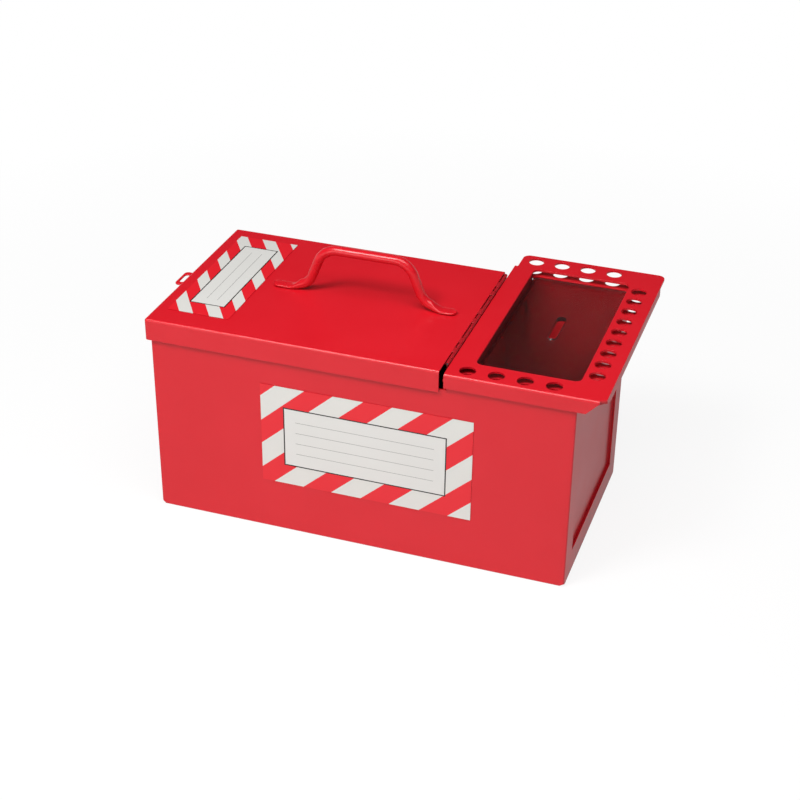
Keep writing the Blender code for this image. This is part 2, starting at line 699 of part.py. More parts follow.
def carry_handle(material):
    """The rod's rings are lofted along its centre line; its feet lie flat on the lid."""
    shape = bmesh.new()
    path = handle_path()
    rings = []
    for index, (x, z) in enumerate(path):
        before = Vector(path[max(index - 1, 0)])
        after = Vector(path[min(index + 1, len(path) - 1)])
        along = (after - before).normalized()
        across = Vector((-along.y, along.x))
        width, depth = foot_section(x)
        rings.append(ring(shape, x, z - ROD_RADIUS + depth, across, width, depth))
    for first, second in zip(rings, rings[1:]):
        bmesh.ops.bridge_loops(shape, edges=first + second)
    bmesh.ops.holes_fill(shape, edges=shape.edges)
    bmesh.ops.recalc_face_normals(shape, faces=shape.faces)
    place = Matrix.Translation((HANDLE_X, HANDLE_Y, LID_TOP + GAP))
    bmesh.ops.transform(shape, matrix=place, verts=shape.verts)
    part = add_part("carry_handle", finish_mesh(shape), material)
    part.data.shade_smooth()
    return part


def ring(shape, x, z, across, width, depth):
    """One closed ring of edges round the rod, square to its centre line."""
    spots = []
    for step in range(ROD_SIDES):
        angle = 2 * pi * step / ROD_SIDES
        rise = depth * sin(angle)
        spots.append(shape.verts.new((x + across.x * rise, width * cos(angle), z + across.y * rise)))
    return [shape.edges.new((spots[step - 1], spots[step])) for step in range(ROD_SIDES)]


def front_panel_outline(margin):
    half = FRONT_PANEL_LENGTH / 2 + margin
    return rectangle(FRONT_PANEL_X - half, FRONT_PANEL_X + half, FRONT_PANEL_BOTTOM - margin,
                     FRONT_PANEL_BOTTOM + FRONT_PANEL_HEIGHT + margin, 0)


def front_labels(vinyl, card):
    half = FRONT_LABEL_LENGTH / 2
    outline = rectangle(FRONT_LABEL_X - half, FRONT_LABEL_X + half, FRONT_LABEL_BOTTOM,
                        FRONT_LABEL_BOTTOM + FRONT_LABEL_HEIGHT, 0)
    low = -BODY_FRONT + GAP
    high = low + LABEL_THICKNESS
    add_part("front_label", outline_mesh([outline, front_panel_outline(GAP)], low, high, FACE_XZ),
             vinyl)
    add_part("front_label_panel", outline_mesh([front_panel_outline(0)], low, high, FACE_XZ), card)


def lid_panel_outline(margin):
    left = LID_LEFT + LID_PANEL_INSET - margin
    half = LID_PANEL_LENGTH / 2 + margin
    return rectangle(left, left + LID_PANEL_WIDTH + 2 * margin, LID_PANEL_Y - half,
                     LID_PANEL_Y + half, 0)


def lid_labels(vinyl, card):
    left = LID_LEFT + LID_LABEL_INSET
    half = LID_LABEL_LENGTH / 2
    outline = rectangle(left, left + LID_LABEL_WIDTH, LID_LABEL_Y - half, LID_LABEL_Y + half, 0)
    low = LID_TOP + GAP
    high = low + LABEL_THICKNESS
    add_part("lid_label", outline_mesh([outline, lid_panel_outline(GAP)], low, high), vinyl)
    add_part("lid_label_panel", outline_mesh([lid_panel_outline(0)], low, high), card)


def hang(axis_name, names):
    """Parents the pieces that turn together to an empty on the hinge's axis."""
    axis = bpy.data.objects.new(axis_name, None)
    axis.location = (PIN_X, 0, PIN_Z)
    PARTS.objects.link(axis)
    for name in names:
        part = PARTS.objects[name]
        part.parent = axis
        part.matrix_parent_inverse = Matrix.Translation((-PIN_X, 0, -PIN_Z))


clear_scene()
PARTS = make_collection("group_lock_box")
TOOLS = make_collection("cutters")

RED_COAT = (0.63, 0.012, 0.022)
LABEL_RED = (0.9, 0.03, 0.045)
CLEAR_PLASTIC = (0.85, 0.87, 0.87)
LABEL_WHITE = (0.75, 0.74, 0.71)
ZINC = (0.55, 0.55, 0.56)

body_shell(make_material("body_shell", RED_COAT, 0.35))
end_panel("left_end_panel", BODY_LEFT + PANEL_RECESS, 1, WALL_TOP,
          make_material("left_end_panel", RED_COAT, 0.35))
end_panel("right_end_panel", BODY_RIGHT - PANEL_RECESS, -1, LEDGE_TOP,
          make_material("right_end_panel", RED_COAT, 0.35))
partition_wall(make_material("partition_wall", RED_COAT, 0.35))
lock_flange(make_material("lock_flange", RED_COAT, 0.35))
hasp(make_material("hasp", RED_COAT, 0.35))
hinge(make_material("hinge_leaf", RED_COAT, 0.35))
hinge_pin(make_material("hinge_pin", ZINC, 0.3, 1.0))
storage_lid(make_material("storage_lid", RED_COAT, 0.35))
carry_handle(make_material("carry_handle", RED_COAT, 0.35))
lock_plate(make_material("lock_plate", RED_COAT, 0.35))
pane_carrier(make_material("pane_carrier", RED_COAT, 0.35))
window_pane(make_material("window_pane", CLEAR_PLASTIC, 0.1))
front_labels(make_material("front_label", LABEL_RED, 0.45),
             make_material("front_label_panel", LABEL_WHITE, 0.5))
lid_labels(make_material("lid_label", LABEL_RED, 0.45),
           make_material("lid_label_panel", LABEL_WHITE, 0.5))

hang("storage_lid_axis", ("storage_lid", "hinge_lid_leaf", "carry_handle", "lid_hasp",
                          "lid_label", "lid_label_panel"))
hang("lock_plate_axis", ("lock_plate", "pane_carrier", "window_pane", "hinge_plate_leaf"))
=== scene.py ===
# %% [markdown]
# # A portable group lock box in powder-coated sheet steel
#
# The real object is a red steel box with two lids on one long hinge. The left lid covers a
# compartment for padlocks and carries a bent-rod handle. The right one is a lock plate: machine
# keys drop through a slot in its clear pane, and workers' padlocks pin it to the frame below.
#
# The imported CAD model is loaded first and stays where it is. Every piece made here takes its place
# from it, and rides on the same body as the CAD part that it stands for.

# %% Load the fixed frame
from math import copysign, cos, pi, radians, sin

import bmesh
import bpy
from mathutils import Matrix, Vector


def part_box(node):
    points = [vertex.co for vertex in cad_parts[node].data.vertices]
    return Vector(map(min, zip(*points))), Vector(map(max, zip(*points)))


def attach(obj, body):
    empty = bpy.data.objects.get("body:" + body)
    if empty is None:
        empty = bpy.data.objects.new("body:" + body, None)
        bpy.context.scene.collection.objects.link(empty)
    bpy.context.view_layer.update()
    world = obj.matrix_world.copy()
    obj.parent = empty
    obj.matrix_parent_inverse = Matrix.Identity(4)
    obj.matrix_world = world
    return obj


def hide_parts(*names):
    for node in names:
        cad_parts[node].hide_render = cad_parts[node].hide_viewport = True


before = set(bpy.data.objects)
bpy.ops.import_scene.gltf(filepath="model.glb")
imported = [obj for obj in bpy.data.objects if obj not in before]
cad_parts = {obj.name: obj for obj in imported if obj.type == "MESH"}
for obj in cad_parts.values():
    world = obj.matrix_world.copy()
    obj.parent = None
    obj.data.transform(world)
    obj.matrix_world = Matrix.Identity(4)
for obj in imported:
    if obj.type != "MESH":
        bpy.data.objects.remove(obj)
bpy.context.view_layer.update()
print("CAD nodes:", sorted(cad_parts))

# %% [markdown]
# ## Lengths
#
# All lengths are in metres. The places of the parts are read from the CAD model, so that nothing
# has to be fitted by eye. What the boxes of the parts don't tell, such as a sheet's thickness or
# the pitch of the padlock holes, is written down once here, in millimetres.

# %% Places that the CAD model gives
MM = 0.001

shell_low, shell_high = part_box("body_shell")
lid_low, lid_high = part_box("storage_lid")
plate_low, plate_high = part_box("lock_plate")
flange_low, flange_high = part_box("lock_flange")
pane_low, pane_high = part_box("window_pane")
pin_low, pin_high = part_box("hinge_pin")
rod_low, rod_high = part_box("carry_handle")

PIN_X = (pin_low.x + pin_high.x) / 2
PIN_Z = (pin_low.z + pin_high.z) / 2
print("shell", [round(side / MM, 1) for side in shell_high - shell_low], "mm")
print("pin at", round(PIN_X / MM, 1), round(PIN_Z / MM, 1), "mm")

# %% Lengths that are known from how such a box is made
SHEET = 1.5 * MM
LOCK_SHEET = 2.0 * MM
BEND_RADIUS = 2.5 * MM
TIGHT_BEND = 1.8 * MM
CLEARANCE = 0.3 * MM
BEYOND = 10.0 * MM

END_FLANGE = 25.0 * MM
CORNER_NOTCH = 2.8 * MM
CARRIER_DEPTH = 7.4 * MM
PANE_CLEARANCE = 0.8 * MM

LEFT_STRIP = 20.6 * MM
RIGHT_STRIP = 28.9 * MM
FRONT_STRIP = 27.7 * MM
BACK_STRIP = 28.9 * MM
WINDOW_CORNER = 6.0 * MM

HOLE_RADIUS = 7.5 * MM
ROW_COUNT = 4
ROW_PITCH = 26.2 * MM
ROW_START = 18.1 * MM
ROW_INSET = 13.2 * MM
BACK_ROW_INSET = 12.4 * MM
COLUMN_COUNT = 9
COLUMN_PITCH = 21.7 * MM
COLUMN_INSET = 17.7 * MM

WINDOW_LEFT = plate_low.x + LEFT_STRIP
WINDOW_RIGHT = plate_high.x - RIGHT_STRIP
WINDOW_FRONT = plate_low.y + FRONT_STRIP
WINDOW_BACK = plate_high.y - BACK_STRIP
print("window", round((WINDOW_RIGHT - WINDOW_LEFT) / MM, 1), "mm wide")

# %% [markdown]
# ## Camera
#
# The camera comes before the pieces, because it decides which of them are seen closely. It stands
# to the right of the front and looks down by about thirty degrees. The lens is long, so the box's
# edges run nearly parallel, as on a catalogue picture.

# %% Place the camera
CAMERA_PLACE = Vector((0.4524, -1.3179, 0.9218))
CAMERA_AZIMUTH = radians(18.659)
CAMERA_PITCH = radians(30.476)
CAMERA_ROLL = radians(0.733)
LENS = 74.85
SENSOR = 36.0

lens = bpy.data.cameras.new("catalogue_lens")
lens.lens = LENS
lens.sensor_width = SENSOR
camera = bpy.data.objects.new("catalogue_camera", lens)
camera.matrix_world = (Matrix.Translation(CAMERA_PLACE)
                       @ Matrix.Rotation(CAMERA_AZIMUTH, 4, "Z")
                       @ Matrix.Rotation(radians(90) - CAMERA_PITCH, 4, "X")
                       @ Matrix.Rotation(CAMERA_ROLL, 4, "Z"))
bpy.context.scene.collection.objects.link(camera)
bpy.context.scene.camera = camera
print("camera looks down by", round(CAMERA_PITCH * 180 / pi, 1), "degrees")

# %% [markdown]
# ## Finishes
#
# Each finish starts from what the real surface is and how it was made. Colours are written as the
# sRGB hex values that a colour picker shows, and one function turns them into the linear values
# that Blender's shaders work with. Another adds a node with its settings and links. Patterns
# follow object coordinates, which are metres on the part itself, so a pattern moves with its part.

# %% Colours and nodes
CHANNELS = 3
BYTE = 255
SRGB_TOE = 0.04045
SRGB_TOE_SLOPE = 12.92
SRGB_OFFSET = 0.055
SRGB_POWER = 2.4


def linear(hex_colour):
    """The linear RGBA colour of an sRGB hex value such as #D01D29."""
    shades = []
    for channel in range(CHANNELS):
        start = 1 + 2 * channel
        share = int(hex_colour[start:start + 2], 16) / BYTE
        if share <= SRGB_TOE:
            shades.append(share / SRGB_TOE_SLOPE)
        else:
            shades.append(((share + SRGB_OFFSET) / (1 + SRGB_OFFSET)) ** SRGB_POWER)
    return (*shades, 1.0)


def add_node(tree, kind, sockets=None, **settings):
    """Adds a shader node; sockets maps an input to a value or to another node's output."""
    node = tree.nodes.new("ShaderNode" + kind)
    for name, value in settings.items():
        setattr(node, name, value)
    for key, value in (sockets or {}).items():
        if isinstance(value, bpy.types.NodeSocket):
            tree.links.new(value, node.inputs[key])
        else:
            node.inputs[key].default_value = value
    return node


def new_finish(name, roughness, metallic=0.0):
    """A material with its node tree, its shader and the object coordinates for its patterns."""
    finish = bpy.data.materials.new(name)
    finish.use_nodes = True
    tree = finish.node_tree
    shader = tree.nodes["Principled BSDF"]
    shader.inputs["Roughness"].default_value = roughness
    shader.inputs["Metallic"].default_value = metallic
    place = add_node(tree, "TexCoord").outputs["Object"]
    return finish, tree, shader, place


print("powder coat red is", [round(shade, 3) for shade in linear("#D01D29")])

# %% [markdown]
# ### Powder coat
#
# The box is polyester powder, sprayed on dry and baked until it melts into a semi-gloss skin. What
# the eye sees is a clean red with a soft sheen, slightly uneven in depth because the film's
# thickness varies, and broken up by orange peel: shallow dimples about 2.5 mm apart, a few
# thousandths of a millimetre deep. The sheet under it is never quite flat either, and that bends
# the reflections over 60 to 80 mm. So the colour gets one broad noise, and the surface two bumps
# of real height.
#
# The same powder turns out differently in places. It flows best on the round rod, so the handle
# is the glossiest. The hinge and the pocket round the pane get a rougher coat in a darker red, and
# that darker red is painted shade: on the hinge it stands for the dark gap between the lids, and in
# the pocket, darker still, for the shade under the plate's edges. None of these three has a flat
# sheet's wave.

# %% Red powder coat on sheet steel
FILM_PATCH = 60.0 * MM
ORANGE_PEEL = 2.5 * MM
ORANGE_PEEL_DEPTH = 0.006 * MM
SHEET_WAVE = 75.0 * MM
SHEET_WAVE_DEPTH = 0.12 * MM
COAT_SPECULAR = 0.5
GLOSS_SPREAD = 0.05
COAT_DETAIL = 3.0
RELIEF_DETAIL = 1.0
SHEET_ROUGHNESS = 0.34
ROD_ROUGHNESS = 0.27
HINGE_ROUGHNESS = 0.42
POCKET_ROUGHNESS = 0.5
COLOUR_A, COLOUR_B, COLOUR_OUT = 6, 7, 2


def relief(tree, place, size, depth, under=None):
    """The normal of a surface with lumps about size wide and depth high, on top of another."""
    lumps = add_node(tree, "TexNoise", {"Vector": place, "Scale": 1 / size,
                                        "Detail": RELIEF_DETAIL})
    skin = add_node(tree, "Bump", {"Height": lumps.outputs["Fac"], "Distance": depth})
    if under:
        tree.links.new(under, skin.inputs["Normal"])
    return skin.outputs["Normal"]


def powder_coat(name, thin, thick, roughness, wave_depth=0.0):
    """Baked powder: thin and thick are its colours where the film is thinnest and thickest."""
    finish, tree, shader, place = new_finish(name, roughness)
    shader.inputs["Specular IOR Level"].default_value = COAT_SPECULAR
    patch = add_node(tree, "TexNoise", {"Vector": place, "Scale": 1 / FILM_PATCH,
                                        "Detail": COAT_DETAIL}).outputs["Fac"]
    tone = add_node(tree, "Mix", {"Factor": patch, COLOUR_A: linear(thin),
                                  COLOUR_B: linear(thick)}, data_type="RGBA")
    tree.links.new(tone.outputs[COLOUR_OUT], shader.inputs["Base Color"])
    gloss = add_node(tree, "MapRange", {"Value": patch, "To Min": roughness - GLOSS_SPREAD,
                                        "To Max": roughness + GLOSS_SPREAD})
    tree.links.new(gloss.outputs["Result"], shader.inputs["Roughness"])
    wave = relief(tree, place, SHEET_WAVE, wave_depth)
    peel = relief(tree, place, ORANGE_PEEL, ORANGE_PEEL_DEPTH, wave)
    tree.links.new(peel, shader.inputs["Normal"])
    return finish


red_coat = powder_coat("red_polyester_powder_coat", "#CE111F", "#D61726", SHEET_ROUGHNESS,
                       SHEET_WAVE_DEPTH)
rod_coat = powder_coat("red_powder_coat_on_bent_rod", "#CC111F", "#D31725", ROD_ROUGHNESS)
# The hinge's darker red is painted shade: it makes the gap between the lids read as a dark line.
hinge_coat = powder_coat("hinge_red_with_painted_shade", "#A20F1A", "#B01320", HINGE_ROUGHNESS)
# The pocket's dark red is painted shade, for the shade under the plate's edges round the pane.
pocket_painted_shade = powder_coat("dark_red_painted_shade_in_the_pocket", "#6E0B12", "#7C0D16",
                          POCKET_ROUGHNESS)
print("powder coats:", red_coat.name, rod_coat.name, hinge_coat.name, pocket_painted_shade.name)

# %% [markdown]
# ### Printed vinyl
#
# The labels are cast vinyl film, screen printed and then laminated. Printed red is a little
# brighter and warmer than the coat, and the white is a soft grey-white that never quite reaches
# paper white. The stripes are generic hazard stripes. They are drawn by arithmetic on the object's
# coordinates: the distance across the stripes, divided by their period, keeps only its fraction,
# and the white part is where that fraction is below the white stripe's share. The film's surface
# has a fine grain, drawn coarser than the real 0.1 mm so that it shows.

# %% Striped film and plain film
FILM_GRAIN = 0.8 * MM
FILM_GRAIN_DEPTH = 0.002 * MM
STRIPE_ROUGHNESS = 0.3
WHITE_ROUGHNESS = 0.34
INK_ROUGHNESS = 0.4
CLOUD_DETAIL = 2.0
CLOUD_DARKEST = 0.96


def striped_vinyl(name, across, period, start, white_share):
    """Film with slanted stripes: across says how much each axis counts, start is a white edge."""
    finish, tree, shader, place = new_finish(name, STRIPE_ROUGHNESS)
    axis = Vector(across) / period
    run = add_node(tree, "VectorMath", {0: place, 1: axis}, operation="DOT_PRODUCT")
    shifted = add_node(tree, "Math", {0: run.outputs["Value"], 1: -start / period},
                       operation="ADD")
    turn = add_node(tree, "Math", {0: shifted.outputs["Value"]}, operation="FRACT")
    white = add_node(tree, "Math", {0: turn.outputs["Value"], 1: white_share},
                     operation="LESS_THAN")
    ink = add_node(tree, "Mix", {"Factor": white.outputs["Value"], COLOUR_A: linear("#E01B28"),
                                 COLOUR_B: linear("#D6D5D0")}, data_type="RGBA")
    tree.links.new(ink.outputs[COLOUR_OUT], shader.inputs["Base Color"])
    grain = relief(tree, place, FILM_GRAIN, FILM_GRAIN_DEPTH)
    tree.links.new(grain, shader.inputs["Normal"])
    return finish


def plain_vinyl(name, colour, roughness):
    finish, tree, shader, place = new_finish(name, roughness)
    cloud = add_node(tree, "TexNoise", {"Vector": place, "Scale": 1 / FILM_PATCH,
                                        "Detail": CLOUD_DETAIL})
    pale = add_node(tree, "MapRange", {"Value": cloud.outputs["Fac"], "To Min": CLOUD_DARKEST,
                                       "To Max": 1.0})
    tone = add_node(tree, "Mix", {"Factor": pale.outputs["Result"], COLOUR_A: linear("#000000"),
                                  COLOUR_B: linear(colour)}, data_type="RGBA")
    tree.links.new(tone.outputs[COLOUR_OUT], shader.inputs["Base Color"])
    grain = relief(tree, place, FILM_GRAIN, FILM_GRAIN_DEPTH)
    tree.links.new(grain, shader.inputs["Normal"])
    return finish


front_stripes = striped_vinyl("striped_vinyl_film_front", across=(1.0, 0.0, -1.117),
                              period=57.2 * MM, start=-256.1 * MM, white_share=0.514)
lid_stripes = striped_vinyl("striped_vinyl_film_lid", across=(1.533, 1.0, 0.0),
                            period=47.0 * MM, start=-268.3 * MM, white_share=0.468)
white_film = plain_vinyl("white_vinyl_film", "#D9D8D4", WHITE_ROUGHNESS)
black_ink = plain_vinyl("black_screen_ink", "#191513", INK_ROUGHNESS)
grey_ink = plain_vinyl("grey_screen_ink", "#8C8C89", INK_ROUGHNESS)
print("films:", front_stripes.name, lid_stripes.name, white_film.name)

# %% [markdown]
# ### Zinc-plated wire and clear acrylic
#
# The hinge pin is drawn steel wire with a thin zinc plating: a metal, so its colour tints the
# reflection, and its roughness comes from the lines that drawing leaves along it. They are made
# coarser than life so that they show.
#
# The pane is cast acrylic. It bends light a little more than water does, so its edges and the
# slot's edge gather light. Keys slide over it, so it is slightly hazy, more in some places than in
# others. A shader that refracts also throws a hard dark shadow, so for shadow rays it is swapped
# for a plain see-through one. That one is grey, because little light gets into the closed
# compartment, and what lies under the pane looks dark.

# %% Zinc and acrylic
DRAWN_LINES = 0.3 * MM
DRAWN_DEPTH = 0.004 * MM
DRAWN_STRETCH = 0.02
ZINC_ROUGHNESS = 0.34
ACRYLIC_IOR = 1.49
ACRYLIC_ROUGHNESS = 0.2
CLEAREST, HAZIEST = 0.17, 0.25


def zinc_wire(name):
    finish, tree, shader, place = new_finish(name, ZINC_ROUGHNESS, metallic=1.0)
    shader.inputs["Base Color"].default_value = linear("#A9ABAF")
    along = add_node(tree, "Mapping", {"Vector": place, "Scale": (1.0, DRAWN_STRETCH, 1.0)})
    lines = relief(tree, along.outputs["Vector"], DRAWN_LINES, DRAWN_DEPTH)
    tree.links.new(lines, shader.inputs["Normal"])
    return finish


def clear_acrylic(name):
    finish, tree, shader, place = new_finish(name, ACRYLIC_ROUGHNESS)
    shader.inputs["Base Color"].default_value = linear("#D2CAC8")
    shader.inputs["IOR"].default_value = ACRYLIC_IOR
    shader.inputs["Transmission Weight"].default_value = 1.0
    haze = add_node(tree, "TexNoise", {"Vector": place, "Scale": 1 / FILM_PATCH,
                                       "Detail": CLOUD_DETAIL})
    gloss = add_node(tree, "MapRange", {"Value": haze.outputs["Fac"], "To Min": CLEAREST,
                                        "To Max": HAZIEST})
    tree.links.new(gloss.outputs["Result"], shader.inputs["Roughness"])
    see_through = add_node(tree, "BsdfTransparent", {"Color": linear("#A39E9C")})
    rays = add_node(tree, "LightPath")
    either = add_node(tree, "MixShader", {0: rays.outputs["Is Shadow Ray"],
                                          1: shader.outputs["BSDF"],
                                          2: see_through.outputs["BSDF"]})
    tree.links.new(either.outputs["Shader"], tree.nodes["Material Output"].inputs["Surface"])
    return finish


zinc = zinc_wire("zinc_plated_steel_wire")
acrylic = clear_acrylic("clear_cast_acrylic")
print("acrylic index of refraction", ACRYLIC_IOR)

# %% [markdown]
# ## Making sheet metal
#
# Sheet parts start as flat outlines, as they do in the workshop. An outline with its holes is a
# filled 2D curve, extruded by the sheet's thickness. A folded pan is a block with rounded edges
# minus the hollow inside it, which gives the inner and the outer bend in one go. Booleans then
# punch what a press would punch. At the end every cut edge gets a fine bevel, because powder coat
# rounds it off, and that thin line of light along each edge is what makes sheet steel look real.

# %% Outlines
FLAT = Matrix.Identity(4)
FACE_YZ = Matrix(((0, 0, 1, 0), (1, 0, 0, 0), (0, 1, 0, 0), (0, 0, 0, 1)))
FACE_XZ = Matrix(((1, 0, 0, 0), (0, 0, -1, 0), (0, 1, 0, 0), (0, 0, 0, 1)))
ARC_STEPS = 10
HOLE_STEPS = 48
MERGE = 0.001 * MM


def corner_arc(before, here, after, radius, steps=ARC_STEPS):
    """Points of the arc that rounds the corner here, from the side of before to that of after."""
    to_before = (before - here).normalized()
    to_after = (after - here).normalized()
    half = to_before.angle(to_after) / 2
    centre = here + (to_before + to_after).normalized() * (radius / sin(half))
    reach = radius * cos(half) / sin(half)
    first = here + to_before * reach - centre
    turn = first.angle_signed(here + to_after * reach - centre)
    arc = []
    for step in range(steps + 1):
        arc.append(centre + first @ Matrix.Rotation(turn * step / steps, 2))
    return [(spot.x, spot.y) for spot in arc]


def rounded(corners):
    """A closed outline; each corner is (x, y, radius)."""
    points = []
    for index, (x, y, radius) in enumerate(corners):
        if radius <= 0:
            points.append((x, y))
            continue
        before = Vector(corners[index - 1][:2])
        after = Vector(corners[(index + 1) % len(corners)][:2])
        points += corner_arc(before, Vector((x, y)), after, radius)
    return points


def rectangle(left, right, front, back, radius=0.0):
    return rounded([(left, front, radius), (right, front, radius), (right, back, radius),
                    (left, back, radius)])


def circle(x, y, radius, steps=HOLE_STEPS):
    spots = []
    for step in range(steps):
        angle = 2 * pi * (step + 0.5) / steps
        spots.append((x + radius * cos(angle), y + radius * sin(angle)))
    return spots


def obround(x, y, half_width, half_length):
    """A slot along Y with round ends."""
    straight = half_length - half_width
    spots = []
    for end in (1, -1):
        for step in range(HOLE_STEPS // 2 + 1):
            angle = (0 if end > 0 else pi) + pi * step / (HOLE_STEPS // 2)
            spots.append((x + half_width * cos(angle),
                          y + end * straight + half_width * sin(angle)))
    return spots


print("a padlock hole has", len(circle(0, 0, HOLE_RADIUS)), "sides")

# %% Meshes from outlines and blocks


def as_mesh(shape):
    mesh = bpy.data.meshes.new("mesh")
    shape.to_mesh(mesh)
    shape.free()
    return mesh


def evaluated(thing):
    """The mesh that an object's modifiers or curve settings make."""
    bpy.context.view_layer.update()
    graph = bpy.context.evaluated_depsgraph_get()
    return bpy.data.meshes.new_from_object(thing.evaluated_get(graph))


def temporary(data):
    thing = bpy.data.objects.new("temporary", data)
    bpy.context.scene.collection.objects.link(thing)
    return thing


def outline_mesh(outlines, low, high, face=FLAT):
    """A sheet from low to high with the first outline round it; the others are holes or islands."""
    curve = bpy.data.curves.new("outline", "CURVE")
    curve.dimensions = "2D"
    curve.fill_mode = "BOTH"
    curve.extrude = (high - low) / 2
    for points in outlines:
        spline = curve.splines.new("POLY")
        spline.points.add(len(points) - 1)
        for spot, (x, y) in zip(spline.points, points):
            spot.co = (x, y, 0, 1)
        spline.use_cyclic_u = True
    flat = temporary(curve)
    mesh = evaluated(flat)
    bpy.data.objects.remove(flat)
    shape = bmesh.new()
    shape.from_mesh(mesh)
    bmesh.ops.remove_doubles(shape, verts=shape.verts, dist=MERGE)
    lift = Matrix.Translation((0, 0, (low + high) / 2))
    bmesh.ops.transform(shape, matrix=face @ lift, verts=shape.verts)
    bmesh.ops.recalc_face_normals(shape, faces=shape.faces)
    return as_mesh(shape)


def block(low, high, radius=0.0):
    """A block, with all its edges rounded if radius is given."""
    shape = bmesh.new()
    bmesh.ops.create_cube(shape, size=1.0)
    bmesh.ops.scale(shape, vec=Vector(high) - Vector(low), verts=shape.verts)
    bmesh.ops.translate(shape, vec=(Vector(high) + Vector(low)) / 2, verts=shape.verts)
    if radius > 0:
        bmesh.ops.bevel(shape, geom=shape.edges, offset=radius, segments=ARC_STEPS, profile=0.5,
                        affect="EDGES")
    return as_mesh(shape)


def carved(mesh, *tools):
    """The mesh with the volume of every tool taken out of it."""
    work = temporary(mesh)
    cutters = [temporary(tool) for tool in tools]
    for cutter in cutters:
        step = work.modifiers.new("cut", "BOOLEAN")
        step.operation = "DIFFERENCE"
        step.object = cutter
    result = evaluated(work)
    for thing in [work] + cutters:
        bpy.data.objects.remove(thing)
    return result


print("a rounded corner has", ARC_STEPS, "steps")

# %% Edges, placing and riding
CUT_EDGE = 0.3 * MM
EDGE_STEPS = 2
SHARP = radians(34)
FLATNESS = radians(0.4)


def tidied(mesh):
    """The same surface with double points merged and the flat faces made whole."""
    shape = bmesh.new()
    shape.from_mesh(mesh)
    bmesh.ops.remove_doubles(shape, verts=shape.verts, dist=MERGE)
    bmesh.ops.dissolve_limit(shape, angle_limit=FLATNESS, verts=shape.verts, edges=shape.edges)
    shape.to_mesh(mesh)
    shape.free()
    return mesh


def soften(piece, width):
    """Rounds the cut edges and shades the surface smoothly between them."""
    piece.data.shade_smooth()
    edge = piece.modifiers.new("coated edges", "BEVEL")
    edge.width = width
    edge.segments = EDGE_STEPS
    edge.limit_method = "ANGLE"
    edge.angle_limit = SHARP
    edge.miter_outer = "MITER_ARC"
    edge.harden_normals = True
    shading = piece.modifiers.new("even shading", "WEIGHTED_NORMAL")
    shading.keep_sharp = True


def add_piece(name, mesh, finish, body, slot, *stands_for, edge=CUT_EDGE):
    """Puts a piece in the scene, on the body that its CAD parts ride on, and rounds its edges."""
    piece = bpy.data.objects.new(name, mesh)
    mesh.name = name
    mesh.materials.append(finish)
    bpy.context.scene.collection.objects.link(piece)
    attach(piece, body)
    if stands_for:
        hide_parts(*stands_for)
    if edge:
        soften(piece, edge)
    print(name, "has", len(mesh.polygons), "faces; CAD nodes:", ", ".join(stands_for) or "none")
    return piece


print("cut edges are rounded by", CUT_EDGE / MM, "mm")

# %% [markdown]
# ## Body
#
# The body is one sheet folded into front, bottom and back, with a 25 mm flange turned in round
# each end. The two end panels are spot-welded behind those flanges, 3 mm in. At each bottom corner
# three folds would meet, so the workshop snips the corner off before bending, and a small notch
# remains. At the right the walls are lower, by the thickness of the frame that lies on them. The
# back wall is open behind the pane, and between the two lids' skirts a short slot in the front
# wall leaves room for the hinge.

# %% Folded body shell
CHUTE_TOP = flange_high.z - LOCK_SHEET - CLEARANCE
CHUTE_FALL = 74.0 * MM
CHUTE_UPRIGHT = 20.0 * MM
CHUTE_ROOM = 0.9 * MM


def folded_pan(low, high, bend=BEND_RADIUS):
    thick = Vector((SHEET, SHEET, SHEET))
    hollow = block(Vector(low) + thick, Vector(high) - thick, bend - SHEET)
    return carved(block(low, high, bend), hollow)


def corner_notch(x, y):
    tool = block((-CORNER_NOTCH, -CORNER_NOTCH, -CORNER_NOTCH),
                 (CORNER_NOTCH, CORNER_NOTCH, CORNER_NOTCH))
    tilt = Matrix.Rotation(radians(45), 4, "Z") @ Matrix.Rotation(radians(45), 4, "X")
    tool.transform(Matrix.Translation((x, y, 0)) @ tilt)
    return tool


def shell_mesh():
    low, high = shell_low, shell_high
    above = high.z + 2 * BEYOND
    pan = folded_pan(low, (high.x, high.y, high.z + BEYOND), TIGHT_BEND)
    cuts = [
        block((low.x - BEYOND, low.y - BEYOND, high.z), (high.x + BEYOND, high.y + BEYOND, above)),
        block((low.x - BEYOND, low.y + END_FLANGE, END_FLANGE),
              (high.x + BEYOND, high.y - END_FLANGE, above)),
        block((flange_low.x - CLEARANCE, low.y - BEYOND, flange_high.z - LOCK_SHEET - CLEARANCE),
              (high.x + BEYOND, high.y + BEYOND, above)),
        block((WINDOW_LEFT - SHEET - PANE_CLEARANCE, 0, flange_high.z - CARRIER_DEPTH - CLEARANCE),
              (WINDOW_RIGHT + PANE_CLEARANCE, high.y + BEYOND, above)),
        block((WINDOW_LEFT, 0, CHUTE_TOP - CHUTE_FALL + SHEET),
              (WINDOW_RIGHT - SHEET, high.y + BEYOND, above)),
        block((lid_high.x - LOCK_SHEET, low.y - BEYOND, lid_low.z + LOCK_SHEET),
              (plate_low.x + LOCK_SHEET, low.y + BEND_RADIUS, above)),
    ]
    cuts += [corner_notch(x, y) for x in (low.x, high.x) for y in (low.y, high.y)]
    return tidied(carved(pan, *cuts))


add_piece("folded_body_skin", shell_mesh(), red_coat, "box", "red_coat", "body_shell")

# %% [markdown]
# The lock plate and its window reach out beyond the back wall. A welded chute closes the box under
# that part of the window, so that keys slide forward into the compartment. It is a bent sheet with
# two cheeks: upright at the back, then sloping down to the wall. The cheeks end just below the
# pane.

# %% Chute behind the window


